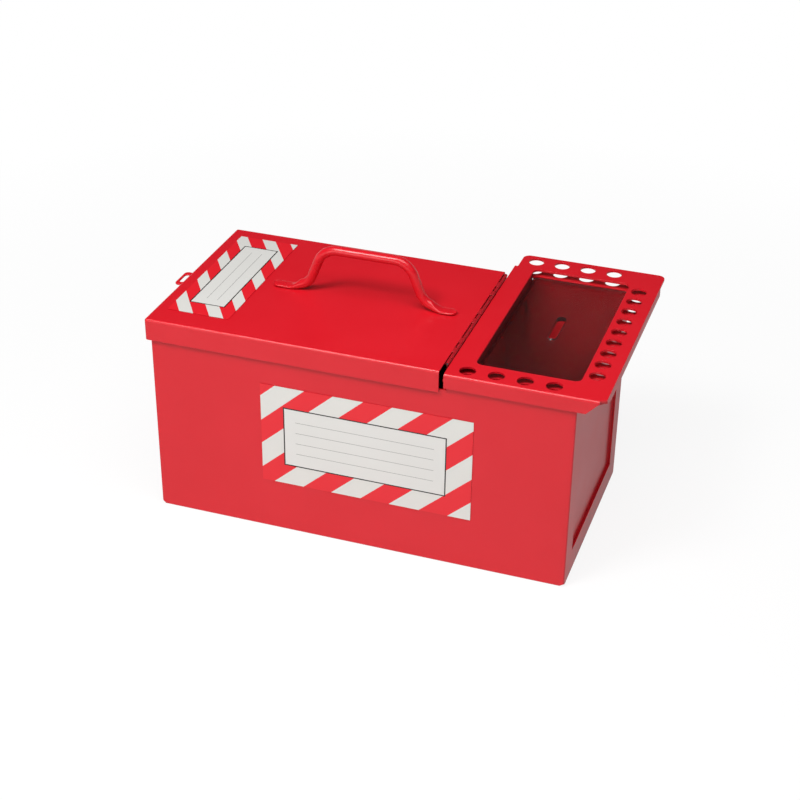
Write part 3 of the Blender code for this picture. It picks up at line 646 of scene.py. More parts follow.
def chute_mesh():
    front = shell_high.y - SHEET
    back = WINDOW_BACK + CHUTE_ROOM
    left, right = WINDOW_LEFT - SHEET, WINDOW_RIGHT
    slope = (CHUTE_FALL - CHUTE_UPRIGHT) / (back + SHEET - front)
    lift = SHEET * (1 + slope * slope) ** 0.5
    knee, toe = CHUTE_TOP - CHUTE_UPRIGHT, CHUTE_TOP - CHUTE_FALL
    outside = [(front, CHUTE_TOP), (back + SHEET, CHUTE_TOP), (back + SHEET, knee), (front, toe)]
    inside = [(front - BEYOND, CHUTE_TOP + BEYOND), (back, CHUTE_TOP + BEYOND),
              (back, knee - slope * SHEET + lift), (front - BEYOND, toe - slope * BEYOND + lift)]
    under_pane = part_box("pane_carrier")[0].z - CLEARANCE
    pane_room = block((left - BEYOND, front - BEYOND, under_pane),
                      (right + BEYOND, back, CHUTE_TOP + BEYOND))
    return tidied(carved(outline_mesh([outside], left, right, FACE_YZ),
                         outline_mesh([inside], left + SHEET, right - SHEET, FACE_YZ), pane_room))


add_piece("rear_key_chute", chute_mesh(), red_coat, "box", "red_coat")

# %% [markdown]
# The partition between the compartments is a plain bent sheet, the hinge pin is a plain wire, and
# their CAD shapes are right. They stay, with their seams welded, their flat faces made whole and
# their cut edges rounded by modifiers, which leave the CAD mesh itself alone.

# %% CAD parts that stay
PIN_EDGE = 0.2 * MM


def dress_cad_part(node, finish, width):
    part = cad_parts[node]
    part.data.materials.clear()
    part.data.materials.append(finish)
    weld = part.modifiers.new("weld seams", "WELD")
    weld.merge_threshold = MERGE
    flat = part.modifiers.new("whole faces", "DECIMATE")
    flat.decimate_type = "DISSOLVE"
    flat.angle_limit = FLATNESS
    soften(part, width)


dress_cad_part("partition_wall", red_coat, CUT_EDGE)
dress_cad_part("hinge_pin", zinc, PIN_EDGE)
print("kept from the CAD model: partition and pin")

# %% [markdown]
# Each end panel is pressed: its middle is 3 mm deep, and its rim lies against the flanges of the
# body, so the step between them shows as one dark line. Its top edge is folded inwards. At the
# right this ledge is narrow, so that it doesn't show as a pale band under the pane.

# %% Pressed end panels
RIGHT_LEDGE = 4.0 * MM
left_end_low, left_end_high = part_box("left_end_panel")
LEFT_LEDGE = left_end_high.x - left_end_low.x


def end_panel_mesh(node, side, ledge):
    """A pressed end with its folded top edge; side is 1 at the right end and -1 at the left."""
    low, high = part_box(node)
    face = high.x if side > 0 else -low.x
    rim = shell_high.x - SHEET - CLEARANCE

    def slab(inner, outer, front, back, bottom, top):
        left, right = sorted((side * inner, side * outer))
        return block((left, front, bottom), (right, back, top))

    whole = slab(face - ledge, rim, low.y, high.y, low.z, high.z)
    pocket = slab(face, rim + BEYOND, shell_low.y + END_FLANGE, shell_high.y - END_FLANGE,
                  END_FLANGE, high.z + BEYOND)
    inside = slab(face - ledge - BEYOND, face - SHEET, low.y - BEYOND, high.y + BEYOND,
                  low.z - BEYOND, high.z - SHEET)
    return tidied(carved(whole, pocket, inside))


for name, node, side, ledge in (("pressed_left_end", "left_end_panel", -1, LEFT_LEDGE),
                                ("pressed_right_end", "right_end_panel", 1, RIGHT_LEDGE)):
    add_piece(name, end_panel_mesh(node, side, ledge), red_coat, "box", "red_coat", node)

# %% [markdown]
# ## Storage lid
#
# The lid is a shallow pan with skirts at the front, back and left. Its right edge is the hinge's.
# The rounded folds matter most here: the front one catches the light as one long pale line.

# %% Lid pan


def lid_mesh():
    low, high = lid_low, lid_high
    pan = folded_pan((low.x, low.y, low.z - BEYOND), (high.x + BEYOND, high.y, high.z))
    bottom = block((low.x - BEYOND, low.y - BEYOND, low.z - 2 * BEYOND),
                   (high.x + 2 * BEYOND, high.y + BEYOND, low.z))
    hinge_side = block((high.x, low.y - BEYOND, low.z - 2 * BEYOND),
                       (high.x + 2 * BEYOND, high.y + BEYOND, high.z + BEYOND))
    return tidied(carved(pan, bottom, hinge_side))


add_piece("storage_lid_skin", lid_mesh(), red_coat, "lid", "red_coat", "storage_lid")

# %% [markdown]
# ## Two padlock layers
#
# Padlocks pass through two layers of 2 mm sheet, hole over hole. The lower one is a frame on the
# walls, set back a little from the plate's edges, with its back row of holes nearer the wall. Only
# its right edge is turned down, and this lip tapers off at the front. The upper one is the lock
# plate itself: it has a folded front skirt, a clipped corner at the right and a small jog at the
# back left.

# %% Padlock holes


def padlock_holes(back_row):
    """The front row, the back row and the column at the right."""
    middle = (plate_low.y + plate_high.y) / 2
    spots = []
    for index in range(ROW_COUNT):
        x = plate_low.x + ROW_START + index * ROW_PITCH
        spots += [(x, plate_low.y + ROW_INSET), (x, back_row)]
    for index in range(COLUMN_COUNT):
        y = middle + (index - (COLUMN_COUNT - 1) / 2) * COLUMN_PITCH
        spots.append((plate_high.x - COLUMN_INSET, y))
    return [circle(x, y, HOLE_RADIUS) for x, y in spots]


print("padlock holes in each layer:", len(padlock_holes(plate_high.y - BACK_ROW_INSET)))

# %% Lower lock layer
JOG_STEP = 3.0 * MM
PLATE_CORNER = 7.0 * MM
FRONT_LAP = 13.0 * MM
SIDE_LAP = 1.5 * MM
BACK_LAP = 8.9 * MM
LOWER_ROW_INSET = 8.5 * MM
LIP_TAPER = 16.0 * MM


def lower_layer_mesh():
    low, high = flange_low, flange_high
    left, right, back = plate_low.x + JOG_STEP, high.x - SIDE_LAP, high.y - BACK_LAP
    front, root = shell_low.y + FRONT_LAP, high.z - LOCK_SHEET - CLEARANCE
    outline = rounded([
        (right, front, 0), (right, back, PLATE_CORNER), (left, back, 0), (left, shell_high.y, 0),
        (low.x, shell_high.y, 0), (low.x, low.y, 0), (right - FRONT_LAP, low.y, 0)])
    pocket = rectangle(low.x - BEYOND, right - LOCK_SHEET, low.y - BEYOND, high.y + BEYOND)
    opening = rectangle(WINDOW_LEFT - SHEET - PANE_CLEARANCE, WINDOW_RIGHT + PANE_CLEARANCE,
                        WINDOW_FRONT, WINDOW_BACK, WINDOW_CORNER)
    slab = outline_mesh([outline], low.z, high.z)
    hollow = outline_mesh([pocket], low.z - BEYOND, high.z - LOCK_SHEET)
    holes = padlock_holes(back - LOWER_ROW_INSET)
    punch = outline_mesh([opening] + holes, low.z - 2 * BEYOND, high.z + BEYOND)
    taper = [(front - BEYOND, root), (front, root), (front + LIP_TAPER, low.z),
             (front + LIP_TAPER, low.z - BEYOND), (front - BEYOND, low.z - BEYOND)]
    slope = outline_mesh([taper], low.x - BEYOND, high.x + BEYOND, FACE_YZ)
    return tidied(carved(slab, hollow, punch, slope))


add_piece("lower_lock_layer", lower_layer_mesh(), red_coat, "box", "red_coat", "lock_flange")

# %% Lock plate
CORNER_CLIP = 5.5 * MM
JOG_LENGTH = 27.5 * MM
SKIRT_SLANT = 11.5 * MM


def plate_outline():
    low, high = plate_low, plate_high
    clip = low.y + BEND_RADIUS
    end = high.x - CORNER_CLIP
    return rounded([
        (low.x, low.y - BEYOND, 0), (end, low.y - BEYOND, 0), (end, clip, 0),
        (high.x, clip + CORNER_CLIP / 2, 0), (high.x, high.y, PLATE_CORNER),
        (low.x + JOG_STEP, high.y, PLATE_CORNER), (low.x + JOG_STEP, high.y - JOG_LENGTH, 0),
        (low.x, high.y - JOG_LENGTH, 0)])


def plate_profile():
    """The plate's section from the back to the lower end of its front skirt."""
    low, high = plate_low, plate_high
    back = high.y + BEYOND
    return rounded([
        (back, high.z, 0), (low.y, high.z, BEND_RADIUS), (low.y, low.z, 0),
        (low.y + LOCK_SHEET, low.z, 0),
        (low.y + LOCK_SHEET, high.z - LOCK_SHEET, BEND_RADIUS - LOCK_SHEET),
        (back, high.z - LOCK_SHEET, 0)])


def plate_mesh():
    low, high = plate_low, plate_high
    folded = outline_mesh([plate_profile()], low.x - BEYOND, high.x + BEYOND, FACE_YZ)
    under, over = low.z - BEYOND, high.z + BEYOND
    reach = 2 * BEYOND
    around = rectangle(low.x - reach, high.x + reach, low.y - reach, high.y + reach)
    trim = outline_mesh([around, plate_outline()], under, over)
    window = rectangle(WINDOW_LEFT, WINDOW_RIGHT, WINDOW_FRONT, WINDOW_BACK, WINDOW_CORNER)
    punch = outline_mesh([window] + padlock_holes(high.y - BACK_ROW_INSET), under, over)
    end = high.x - CORNER_CLIP
    fold = high.z - BEND_RADIUS
    slant = [(end, fold), (end + BEYOND, fold), (end + BEYOND, under), (end - SKIRT_SLANT, under),
             (end - SKIRT_SLANT, low.z)]
    wedge = outline_mesh([slant], -shell_low.y, BEYOND - low.y, FACE_XZ)
    return tidied(carved(folded, trim, punch, wedge))


add_piece("lock_plate_skin", plate_mesh(), red_coat, "lock_cover", "red_coat", "lock_plate")

# %% [markdown]
# ## Clear pane
#
# The pane is nearly 5 mm of acrylic, cut with a router and lightly eased along its edges. Its key
# slot is an obround, a little behind the middle, and its eased edges are what shows most: they
# gather light. The pane's outer edges face the sides of the pocket that it lies in, and they get
# the pocket's darker red, which is painted shade.

# %% Pane with its key slot
SLOT_LENGTH = 45.0 * MM
SLOT_WIDTH = 8.4 * MM
SLOT_BACKWARDS = 4.5 * MM
ROUTED_EDGE = 0.5 * MM
UPRIGHT = 0.5
PAINTED_SHADE = 1

pane_outline = rectangle(pane_low.x, pane_high.x, pane_low.y, pane_high.y, WINDOW_CORNER)
slot_place = Vector(((WINDOW_LEFT + WINDOW_RIGHT) / 2,
                     (WINDOW_FRONT + WINDOW_BACK) / 2 + SLOT_BACKWARDS))
key_slot = obround(*slot_place, SLOT_WIDTH / 2, SLOT_LENGTH / 2)
pane_sheet = tidied(outline_mesh([pane_outline, key_slot], pane_low.z, pane_high.z))
add_piece("clear_window_pane", pane_sheet, acrylic, "lock_cover", "clear_plastic", "window_pane",
          edge=ROUTED_EDGE)
# The pane's outer side faces get the pocket's dark red, which is painted shade.
pane_sheet.materials.append(pocket_painted_shade)
for side in pane_sheet.polygons:
    outermost = (side.center.xy - slot_place).length > SLOT_LENGTH
    if outermost and abs(side.normal.z) < UPRIGHT:
        side.material_index = PAINTED_SHADE

# %% [markdown]
# A bent strip hangs under the plate at the left of the window and carries the pane on its foot.
# The foot is short, so that it hardly shows. The strip is a side of the pocket, and its dark red
# is painted shade.

# %% Strip that carries the pane
CARRIER_FOOT = 2.5 * MM


def carrier_mesh():
    low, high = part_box("pane_carrier")
    web, tip = WINDOW_LEFT - SHEET, WINDOW_LEFT + CARRIER_FOOT
    section = [(low.x, high.z), (WINDOW_LEFT, high.z), (WINDOW_LEFT, low.z + SHEET),
               (tip, low.z + SHEET), (tip, low.z), (web, low.z), (web, high.z - SHEET),
               (low.x, high.z - SHEET)]
    return outline_mesh([section], -high.y, -low.y, FACE_XZ)


# The carrier strip is coloured with the pocket's dark red, which is painted shade.
add_piece("folded_pane_carrier", carrier_mesh(), pocket_painted_shade, "lock_cover", "red_coat",
          "pane_carrier")

# %% [markdown]
# ## Hinge
#
# One pin carries three leaves: one under the lid, one under the lock plate and one down the
# partition. Each knuckle is the leaf's own metal rolled round the pin, so it is drawn as a
# C-shaped section with its seam underneath. The three leaves take turns along the pin, with a
# little play between them.

# %% Rolled knuckles
KNUCKLE_COUNT = 19
KNUCKLE_PITCH = (pin_high.y - pin_low.y) / KNUCKLE_COUNT
KNUCKLE_RADIUS = 1.6 * MM
KNUCKLE_BORE = 1.0 * MM
KNUCKLE_PLAY = 0.8 * MM
SEAM_ANGLE = radians(14)
FIXED_EVERY = 6
LEAF = 0.75 * MM
KNUCKLE_EDGE = 0.15 * MM


def knuckle_owner(index):
    if index % FIXED_EVERY == 0:
        return "fixed"
    return ("lid", "plate")[index % 2]


def rolled_section(seam):
    """The C-shaped section of a knuckle; seam is the angle at which the roll closes."""
    spots = []
    for radius, order in ((KNUCKLE_RADIUS, 1), (KNUCKLE_BORE, -1)):
        ring = []
        for step in range(HOLE_STEPS + 1):
            angle = seam + SEAM_ANGLE / 2 + (2 * pi - SEAM_ANGLE) * step / HOLE_STEPS
            ring.append((PIN_X + radius * cos(angle), PIN_Z + radius * sin(angle)))
        spots += ring[::order]
    return spots


def merged(meshes):
    shape = bmesh.new()
    for mesh in meshes:
        shape.from_mesh(mesh)
    return as_mesh(shape)


def leaf_mesh(owner, strip, neck, seam):
    """A leaf: its strip, and a neck and a rolled knuckle at each of its places."""
    (left, low), (right, high) = strip
    (neck_left, neck_low), (neck_right, neck_high) = neck
    pieces = [block((left, pin_low.y, low), (right, pin_high.y, high))]
    for index in range(KNUCKLE_COUNT):
        if knuckle_owner(index) != owner:
            continue
        front = pin_low.y + index * KNUCKLE_PITCH + KNUCKLE_PLAY / 2
        back = front + KNUCKLE_PITCH - KNUCKLE_PLAY
        pieces.append(outline_mesh([rolled_section(seam)], -back, -front, FACE_XZ))
        pieces.append(block((neck_left, front, neck_low), (neck_right, back, neck_high)))
    return tidied(merged(pieces))


print("knuckles:", [knuckle_owner(index) for index in range(KNUCKLE_COUNT)])

# %% Three leaves
LID_SEAM, PLATE_SEAM, FIXED_SEAM = radians(215), radians(250), radians(300)

wall = (KNUCKLE_RADIUS + KNUCKLE_BORE) / 2
knuckle_top = PIN_Z + KNUCKLE_RADIUS
leaf_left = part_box("hinge_lid_leaf")[0].x
under_lid = lid_high.z - SHEET - CLEARANCE
lid_leaf = leaf_mesh("lid", ((leaf_left, under_lid - LEAF), (lid_high.x, under_lid)),
                     ((lid_high.x - SHEET, knuckle_top - LEAF), (PIN_X, knuckle_top)), LID_SEAM)
# The leaves and knuckles wear the hinge's darker red, which is painted shade.
add_piece("lid_hinge_leaf", lid_leaf, hinge_coat, "lid", "hinge_coat", "hinge_lid_leaf",
          edge=KNUCKLE_EDGE)

low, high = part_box("hinge_plate_leaf")
plate_side = PIN_X + LEAF / 2 + 2 * CLEARANCE
under_plate = plate_high.z - LOCK_SHEET - CLEARANCE
plate_leaf = leaf_mesh("plate", ((plate_side, low.z), (high.x, low.z + LEAF)),
                       ((plate_side, under_plate - LEAF), (plate_side + LEAF, PIN_Z - wall / 2)),
                       PLATE_SEAM)
add_piece("plate_hinge_leaf", plate_leaf, hinge_coat, "lock_cover", "hinge_coat",
          "hinge_plate_leaf", edge=KNUCKLE_EDGE)

leaf_left, leaf_right = PIN_X - LEAF / 2, PIN_X + LEAF / 2
leaf_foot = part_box("hinge_fixed_leaf")[0].z
leaf_top = PIN_Z - KNUCKLE_RADIUS - CLEARANCE
fixed_leaf = leaf_mesh("fixed", ((leaf_left, leaf_foot), (leaf_right, leaf_top)),
                       ((leaf_left, leaf_top - LEAF), (leaf_right, PIN_Z - wall)), FIXED_SEAM)
add_piece("partition_hinge_leaf", fixed_leaf, hinge_coat, "box", "hinge_coat",
          "hinge_fixed_leaf", edge=KNUCKLE_EDGE)

# %% [markdown]
# ## Handle
#
# The handle is one 9 mm rod, bent four times. Its ends are pressed flat and welded to the lid. It
# is lofted: rings of points are set square to the centre line and joined by strips of faces.
# Towards each end the ring goes from a circle to a flat section with rounded sides, and the tip
# closes in an arc.

# %% Centre line of the rod
HANDLE_X = -28.6 * MM
HANDLE_Y = (rod_low.y + rod_high.y) / 2
ROD_RADIUS = 4.6 * MM
HANDLE_HEIGHT = 45.5 * MM
LEFT_FOOT = 35.0 * MM
RIGHT_FOOT = 31.5 * MM
RISER_SPAN = 116.9 * MM
TOP_SPAN = 84.3 * MM
FOOT_HALF_WIDTH = 5.8 * MM
FOOT_HALF_THICKNESS = 1.5 * MM
FOOT_TAPER = 13.0 * MM
FOOT_BEND = 17.0 * MM
TOP_BEND = 21.0 * MM
BEND_SHARE = 0.3
FOOT_START = RISER_SPAN / 2 + FOOT_BEND * BEND_SHARE
BEND_RINGS = 16
TIP_RINGS = 10
BLUNT_TIP = 0.25
STRAIGHT_STEP = 3.0 * MM


def foot_tip(side):
    return side * RISER_SPAN / 2 + (RIGHT_FOOT if side > 0 else -LEFT_FOOT)


def rod_corners():
    return [(foot_tip(-1), ROD_RADIUS, 0), (-RISER_SPAN / 2, ROD_RADIUS, FOOT_BEND),
            (-TOP_SPAN / 2, HANDLE_HEIGHT, TOP_BEND), (TOP_SPAN / 2, HANDLE_HEIGHT, TOP_BEND),
            (RISER_SPAN / 2, ROD_RADIUS, FOOT_BEND), (foot_tip(1), ROD_RADIUS, 0)]


def filled(spots):
    """The same line with points added wherever two stand further apart than the straight step."""
    line = [spots[0]]
    for start, end in zip(spots, spots[1:]):
        count = max(1, round((end - start).length / STRAIGHT_STEP))
        line += [start.lerp(end, (step + 1) / count) for step in range(count)]
    return line


def tip_line(side):
    """Where the rings of a foot's rounded tip stand, from the tip inwards."""
    spots = []
    for step in range(TIP_RINGS + 1):
        turn = pi / 2 * (step + BLUNT_TIP) / (TIP_RINGS + BLUNT_TIP)
        inward = FOOT_HALF_WIDTH * (1 - cos(turn))
        spots.append(Vector((foot_tip(side) - side * inward, ROD_RADIUS)))
    return spots


def rod_line():
    corners = rod_corners()
    left, right = tip_line(-1), tip_line(1)
    bends = []
    for before, (x, z, radius), after in zip(corners, corners[1:], corners[2:]):
        arc = corner_arc(Vector(before[:2]), Vector((x, z)), Vector(after[:2]), radius, BEND_RINGS)
        bends += [Vector(spot) for spot in arc]
    return left[:-1] + filled([left[-1]] + bends + [right[-1]]) + right[:-1][::-1]


print("the rod has", len(rod_line()), "rings")

# %% Loft the rod
ROD_SIDES = 40
FLAT_POWER = 3.2


def eased(share):
    share = min(max(share, 0), 1)
    return share * share * (3 - 2 * share)


def rod_section(x):
    """Half width, half thickness and squareness of the rod at x."""
    share = eased((abs(x) - FOOT_START) / FOOT_TAPER)
    width = ROD_RADIUS + (FOOT_HALF_WIDTH - ROD_RADIUS) * share
    depth = ROD_RADIUS + (FOOT_HALF_THICKNESS - ROD_RADIUS) * share
    from_tip = abs(foot_tip(copysign(1, x)) - x) / FOOT_HALF_WIDTH
    if from_tip < 1:
        width = FOOT_HALF_WIDTH * (1 - (1 - from_tip) ** 2) ** 0.5
    return width, depth, 2 + (FLAT_POWER - 2) * share


def superellipse(angle, power):
    """A point of a rounded square shape; power 2 is a circle, and more is squarer."""
    wide, high = cos(angle), sin(angle)
    return (copysign(abs(wide) ** (2 / power), wide), copysign(abs(high) ** (2 / power), high))


def rod_mesh():
    shape = bmesh.new()
    line = rod_line()
    rings = []
    for index, spot in enumerate(line):
        along = (line[min(index + 1, len(line) - 1)] - line[max(index - 1, 0)]).normalized()
        across = Vector((-along.y, along.x))
        width, depth, power = rod_section(spot.x)
        centre = Vector((spot.x, spot.y - ROD_RADIUS + depth))
        ring = []
        for step in range(ROD_SIDES):
            side, rise = superellipse(2 * pi * step / ROD_SIDES, power)
            point = centre + across * rise * depth
            ring.append(shape.verts.new((point.x, side * width, point.y)))
        rings.append(ring)
    for first, second in zip(rings, rings[1:]):
        for step in range(ROD_SIDES):
            shape.faces.new((first[step - 1], first[step], second[step], second[step - 1]))
    shape.faces.new(rings[0])
    shape.faces.new(rings[-1])
    bmesh.ops.recalc_face_normals(shape, faces=shape.faces)
    place = Matrix.Translation((HANDLE_X, HANDLE_Y, rod_low.z))
    bmesh.ops.transform(shape, matrix=place, verts=shape.verts)
    mesh = as_mesh(shape)
    mesh.shade_smooth()
    return mesh


add_piece("bent_rod_handle", rod_mesh(), rod_coat, "lid", "red_coat", "carry_handle", edge=0)

# %% [markdown]
# ## Hasp
#
# A slotted tab on the lid's left skirt closes over another on the body, and a padlock through both
# shuts the storage side. Each tab is an angle: a leg welded to the wall and a rounded ear with a
# slot.

# %% Hasp tabs
HASP_CORNER = 4.0 * MM
HASP_RIM = 2.3 * MM
HASP_SLOT_LENGTH = 17.0 * MM
HASP_SLOT_WIDTH = 5.4 * MM


def hasp_mesh(node):
    low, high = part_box(node)
    section = [(high.x, high.z), (low.x - BEYOND, high.z), (low.x - BEYOND, high.z - SHEET),
               (high.x - SHEET, high.z - SHEET), (high.x - SHEET, low.z), (high.x, low.z)]
    angle = outline_mesh([section], -high.y, -low.y, FACE_XZ)
    reach = 2 * BEYOND
    around = rectangle(low.x - reach, high.x + reach, low.y - reach, high.y + reach)
    root = low.x + HASP_CORNER
    tab = rounded([
        (high.x + BEYOND, low.y - BEYOND, 0), (high.x + BEYOND, high.y + BEYOND, 0),
        (root, high.y + BEYOND, 0), (root, high.y, 0), (low.x, high.y, HASP_CORNER),
        (low.x, low.y, HASP_CORNER), (root, low.y, 0), (root, low.y - BEYOND, 0)])
    half = HASP_SLOT_WIDTH / 2
    slot = obround(low.x + HASP_RIM + half, (low.y + high.y) / 2, half, HASP_SLOT_LENGTH / 2)
    under, over = low.z - BEYOND, high.z + BEYOND
    return tidied(carved(angle, outline_mesh([around, tab], under, over),
                         outline_mesh([slot], under, over)))


for name, node, body in (("lid_hasp_tab", "lid_hasp", "lid"),
                         ("body_hasp_tab", "body_hasp", "box")):
    add_piece(name, hasp_mesh(node), red_coat, body, "red_coat", node)

# %% [markdown]
# ## Labels
#
# A label is striped film round a white field with a thin black border, and on the white there are
# only ruled write-on lines. Film, border and lines are flat faces with their own inks, so they
# stay sharp at any distance. The white field is cut into a grid, and each cell's ink depends on
# where it lies.

# %% Striped film round the white field
FILM = 0.25 * MM


def film_mesh(label, panel, along_z):
    """The striped film: a frame between the outline of the label and that of its white field."""
    low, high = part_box(label)
    inner_low, inner_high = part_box(panel)
    if along_z:
        outline = rectangle(low.x, high.x, low.z, high.z)
        hole = rectangle(inner_low.x, inner_high.x, inner_low.z, inner_high.z)
        return outline_mesh([outline, hole], -high.y, -high.y + FILM, FACE_XZ)
    outline = rectangle(low.x, high.x, low.y, high.y)
    hole = rectangle(inner_low.x, inner_high.x, inner_low.y, inner_high.y)
    return outline_mesh([outline, hole], low.z, low.z + FILM)


add_piece("front_striped_film", film_mesh("front_label", "front_label_panel", True), front_stripes,
          "box", "striped_vinyl", "front_label", edge=0)
add_piece("lid_striped_film", film_mesh("lid_label", "lid_label_panel", False), lid_stripes,
          "lid", "striped_vinyl", "lid_label", edge=0)

# %% White field with its border and write-on lines
BORDER = 1.2 * MM
LINE = 0.45 * MM
MARGIN = 12.0 * MM
FRONT_LINES, FRONT_LINE_MARGIN = 4, 3 * MM
LID_LINES, LID_LINE_MARGIN = 2, 2 * MM
WHITE, BLACK, GREY = 0, 1, 2


def line_ends(low, high):
    """Where a field is cut along its lines: its edges, its border, and the lines' ends."""
    return [low, low + BORDER, low + MARGIN, high - MARGIN, high - BORDER, high]


def stops(low, high, margin, count):
    """Where a field is cut across its lines: its edges, its border, and both sides of each line."""
    marks = [low, low + BORDER]
    pitch = (high - low - 2 * margin) / (count + 1)
    for index in range(count):
        middle = low + margin + pitch * (index + 1)
        marks += [middle - LINE / 2, middle + LINE / 2]
    return marks + [high - BORDER, high]


def field_mesh(across, up, face, lift):
    """A grid of cells: across are the cuts between a line's ends, up the cuts between lines."""
    shape = bmesh.new()
    rows = [[shape.verts.new((x, y, 0)) for x in across] for y in up]
    for row in range(len(up) - 1):
        for column in range(len(across) - 1):
            cell = shape.faces.new((rows[row][column], rows[row][column + 1],
                                    rows[row + 1][column + 1], rows[row + 1][column]))
            edge = row in (0, len(up) - 2) or column in (0, len(across) - 2)
            ruled = column == 2 and row % 2 == 0
            cell.material_index = BLACK if edge else GREY if ruled else WHITE
    solid = bmesh.ops.extrude_face_region(shape, geom=shape.faces[:])
    moved = [item for item in solid["geom"] if isinstance(item, bmesh.types.BMVert)]
    bmesh.ops.translate(shape, vec=(0, 0, FILM), verts=moved)
    bmesh.ops.recalc_face_normals(shape, faces=shape.faces)
    bmesh.ops.transform(shape, matrix=face @ Matrix.Translation((0, 0, lift)), verts=shape.verts)
    return as_mesh(shape)


def add_field(name, mesh, body, node):
    field = add_piece(name, mesh, white_film, body, "white_vinyl", node, edge=0)
    field.data.materials.append(black_ink)
    field.data.materials.append(grey_ink)


low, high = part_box("front_label_panel")
front_field = field_mesh(line_ends(low.x, high.x),
                         stops(low.z, high.z, FRONT_LINE_MARGIN, FRONT_LINES), FACE_XZ, -high.y)
add_field("front_write_on_field", front_field, "box", "front_label_panel")

low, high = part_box("lid_label_panel")
TURNED = Matrix.Rotation(radians(90), 4, "Z")
lid_field = field_mesh(line_ends(low.y, high.y),
                       stops(-high.x, -low.x, LID_LINE_MARGIN, LID_LINES), TURNED, low.z)
add_field("lid_write_on_field", lid_field, "lid", "lid_label_panel")

# %% [markdown]
# ## Floor, world and lamps
#
# The picture has a white ground that runs into a white background. The ground keeps the box's soft
# shadow, and its brightness comes from its own colour for the camera, not from stronger lamps. The
# box itself stands in plain soft light from three softboxes: one above it, a strong small one high
# at the left that draws the pale line along the folds, and one low in front.

# %% Floor
FLOOR_HALF = 6.0
FLOOR_NEAR = 0.35
FLOOR_FAR = 1.0
SEEN_WHITE = 1.0
MIRRORED_WHITE = 0.64
NEAR_SHADE = 0.12
GROUND_ROUGHNESS = 0.9


def floor_finish():
    finish, tree, shader, place = new_finish("matt_white_ground", GROUND_ROUGHNESS)
    shader.inputs["Specular IOR Level"].default_value = 0.0
    shader.inputs["Base Color"].default_value = linear("#EDEDED")
    rays = add_node(tree, "LightPath")
    seen = add_node(tree, "Math", {0: rays.outputs["Is Camera Ray"],
                                   1: rays.outputs["Is Glossy Ray"]}, operation="MAXIMUM")
    seen = add_node(tree, "Math", {0: seen.outputs["Value"],
                                   1: rays.outputs["Is Transmission Ray"]}, operation="MAXIMUM")
    radius = add_node(tree, "VectorMath", {0: place}, operation="LENGTH")
    fade = add_node(tree, "MapRange", {"Value": radius.outputs["Value"], "From Min": FLOOR_NEAR,
                                       "From Max": FLOOR_FAR})
    level = add_node(tree, "MapRange", {"Value": rays.outputs["Is Glossy Ray"],
                                        "To Min": SEEN_WHITE,
                                        "To Max": MIRRORED_WHITE}).outputs["Result"]
    near_level = add_node(tree, "Math", {0: level, 1: NEAR_SHADE}, operation="SUBTRACT")
    white = add_node(tree, "Emission", {"Color": linear("#FFFFFF"), "Strength": level})
    glow = add_node(tree, "Emission", {"Color": linear("#FFFFFF"),
                                       "Strength": near_level.outputs["Value"]})
    soft = add_node(tree, "BsdfDiffuse", {"Color": (NEAR_SHADE, NEAR_SHADE, NEAR_SHADE, 1.0)})
    near = add_node(tree, "AddShader", {0: soft.outputs["BSDF"], 1: glow.outputs["Emission"]})
    ground = add_node(tree, "MixShader", {0: fade.outputs["Result"], 1: near.outputs["Shader"],
                                          2: white.outputs["Emission"]})
    both = add_node(tree, "MixShader", {0: seen.outputs["Value"], 1: shader.outputs["BSDF"],
                                        2: ground.outputs["Shader"]})
    tree.links.new(both.outputs["Shader"], tree.nodes["Material Output"].inputs["Surface"])
    return finish


floor_mesh = bpy.data.meshes.new("white_ground")
corners = [(x * FLOOR_HALF, y * FLOOR_HALF, 0) for x, y in ((-1, -1), (1, -1), (1, 1), (-1, 1))]
floor_mesh.from_pydata(corners, [], [(0, 1, 2, 3)])
floor_mesh.materials.append(floor_finish())
floor = bpy.data.objects.new("white_ground", floor_mesh)
bpy.context.scene.collection.objects.link(floor)
print("white ground", 2 * FLOOR_HALF, "m across")

# %% World
HORIZON_LOW = 0.0
HORIZON_HIGH = 0.16
SKY_DARK = 0.03
SKY_LIGHT = 0.16

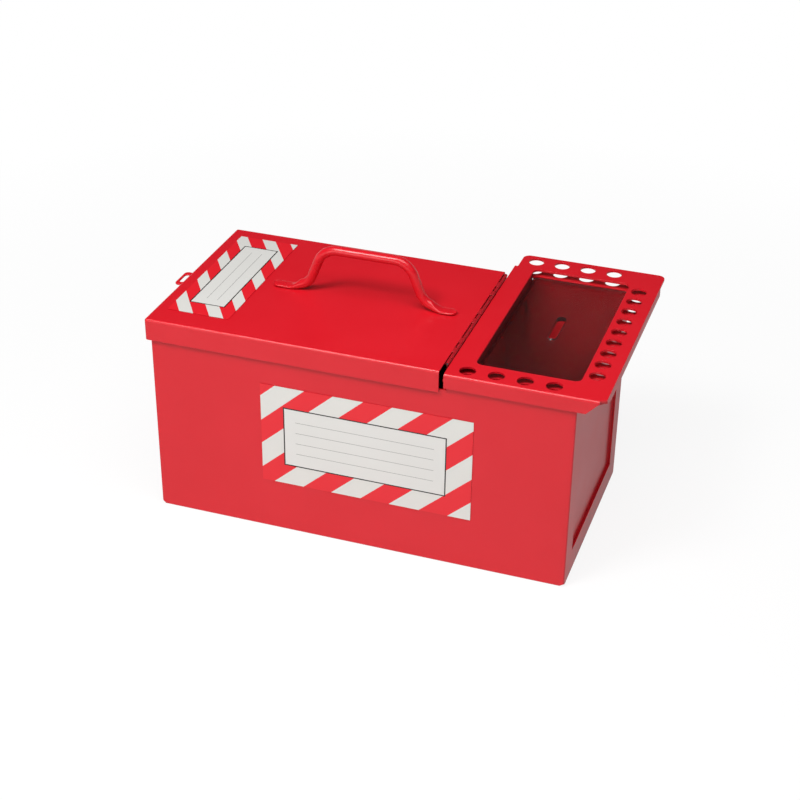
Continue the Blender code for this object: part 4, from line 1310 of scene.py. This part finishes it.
world = bpy.data.worlds.new("white_studio")
world.use_nodes = True
bpy.context.scene.world = world
tree = world.node_tree
rays = add_node(tree, "LightPath")
direction = add_node(tree, "SeparateXYZ", {0: add_node(tree, "TexCoord").outputs["Generated"]})
mirrored = add_node(tree, "MapRange", {"Value": direction.outputs["Z"], "From Min": HORIZON_LOW,
                                       "From Max": HORIZON_HIGH, "To Min": SEEN_WHITE,
                                       "To Max": SKY_DARK})
glossy = add_node(tree, "Math", {0: rays.outputs["Is Glossy Ray"],
                                 1: rays.outputs["Is Transmission Ray"]}, operation="MAXIMUM")
level = add_node(tree, "Mix", {0: glossy.outputs["Value"], 2: SKY_LIGHT,
                               3: mirrored.outputs["Result"]}, data_type="FLOAT")
level = add_node(tree, "Mix", {0: rays.outputs["Is Camera Ray"], 2: level.outputs[0],
                               3: SEEN_WHITE}, data_type="FLOAT")
tree.links.new(level.outputs[0], tree.nodes["Background"].inputs["Strength"])
tree.nodes["Background"].inputs["Color"].default_value = linear("#FFFFFF")
print("diffuse light from the surroundings:", SKY_LIGHT)

# %% Lamps
# Each softbox has its direction from the box, its distance and size in metres, and its watts.
SOFTBOXES = {
    "top_softbox": ((0.22, -0.34, 0.92), 1.15, 0.7, 7.1),
    "edge_softbox": ((-0.276, -0.507, 0.816), 2.0, 0.6, 24.0),
    "front_softbox": ((-0.35, -0.92, 0.16), 1.9, 0.9, 5.5),
}


def softbox(name, towards, distance, size, power):
    """A square soft lamp that faces the middle of the box from the given direction."""
    light = bpy.data.lights.new(name, "AREA")
    light.shape = "SQUARE"
    light.size = size
    light.energy = power
    lamp = bpy.data.objects.new(name, light)
    aim = Vector(towards).normalized()
    lamp.location = Vector((0, 0, shell_high.z / 2)) + aim * distance
    lamp.rotation_euler = aim.to_track_quat("Z", "Y").to_euler()
    bpy.context.scene.collection.objects.link(lamp)


for name, settings in SOFTBOXES.items():
    softbox(name, *settings)
bpy.context.scene.view_settings.view_transform = "Standard"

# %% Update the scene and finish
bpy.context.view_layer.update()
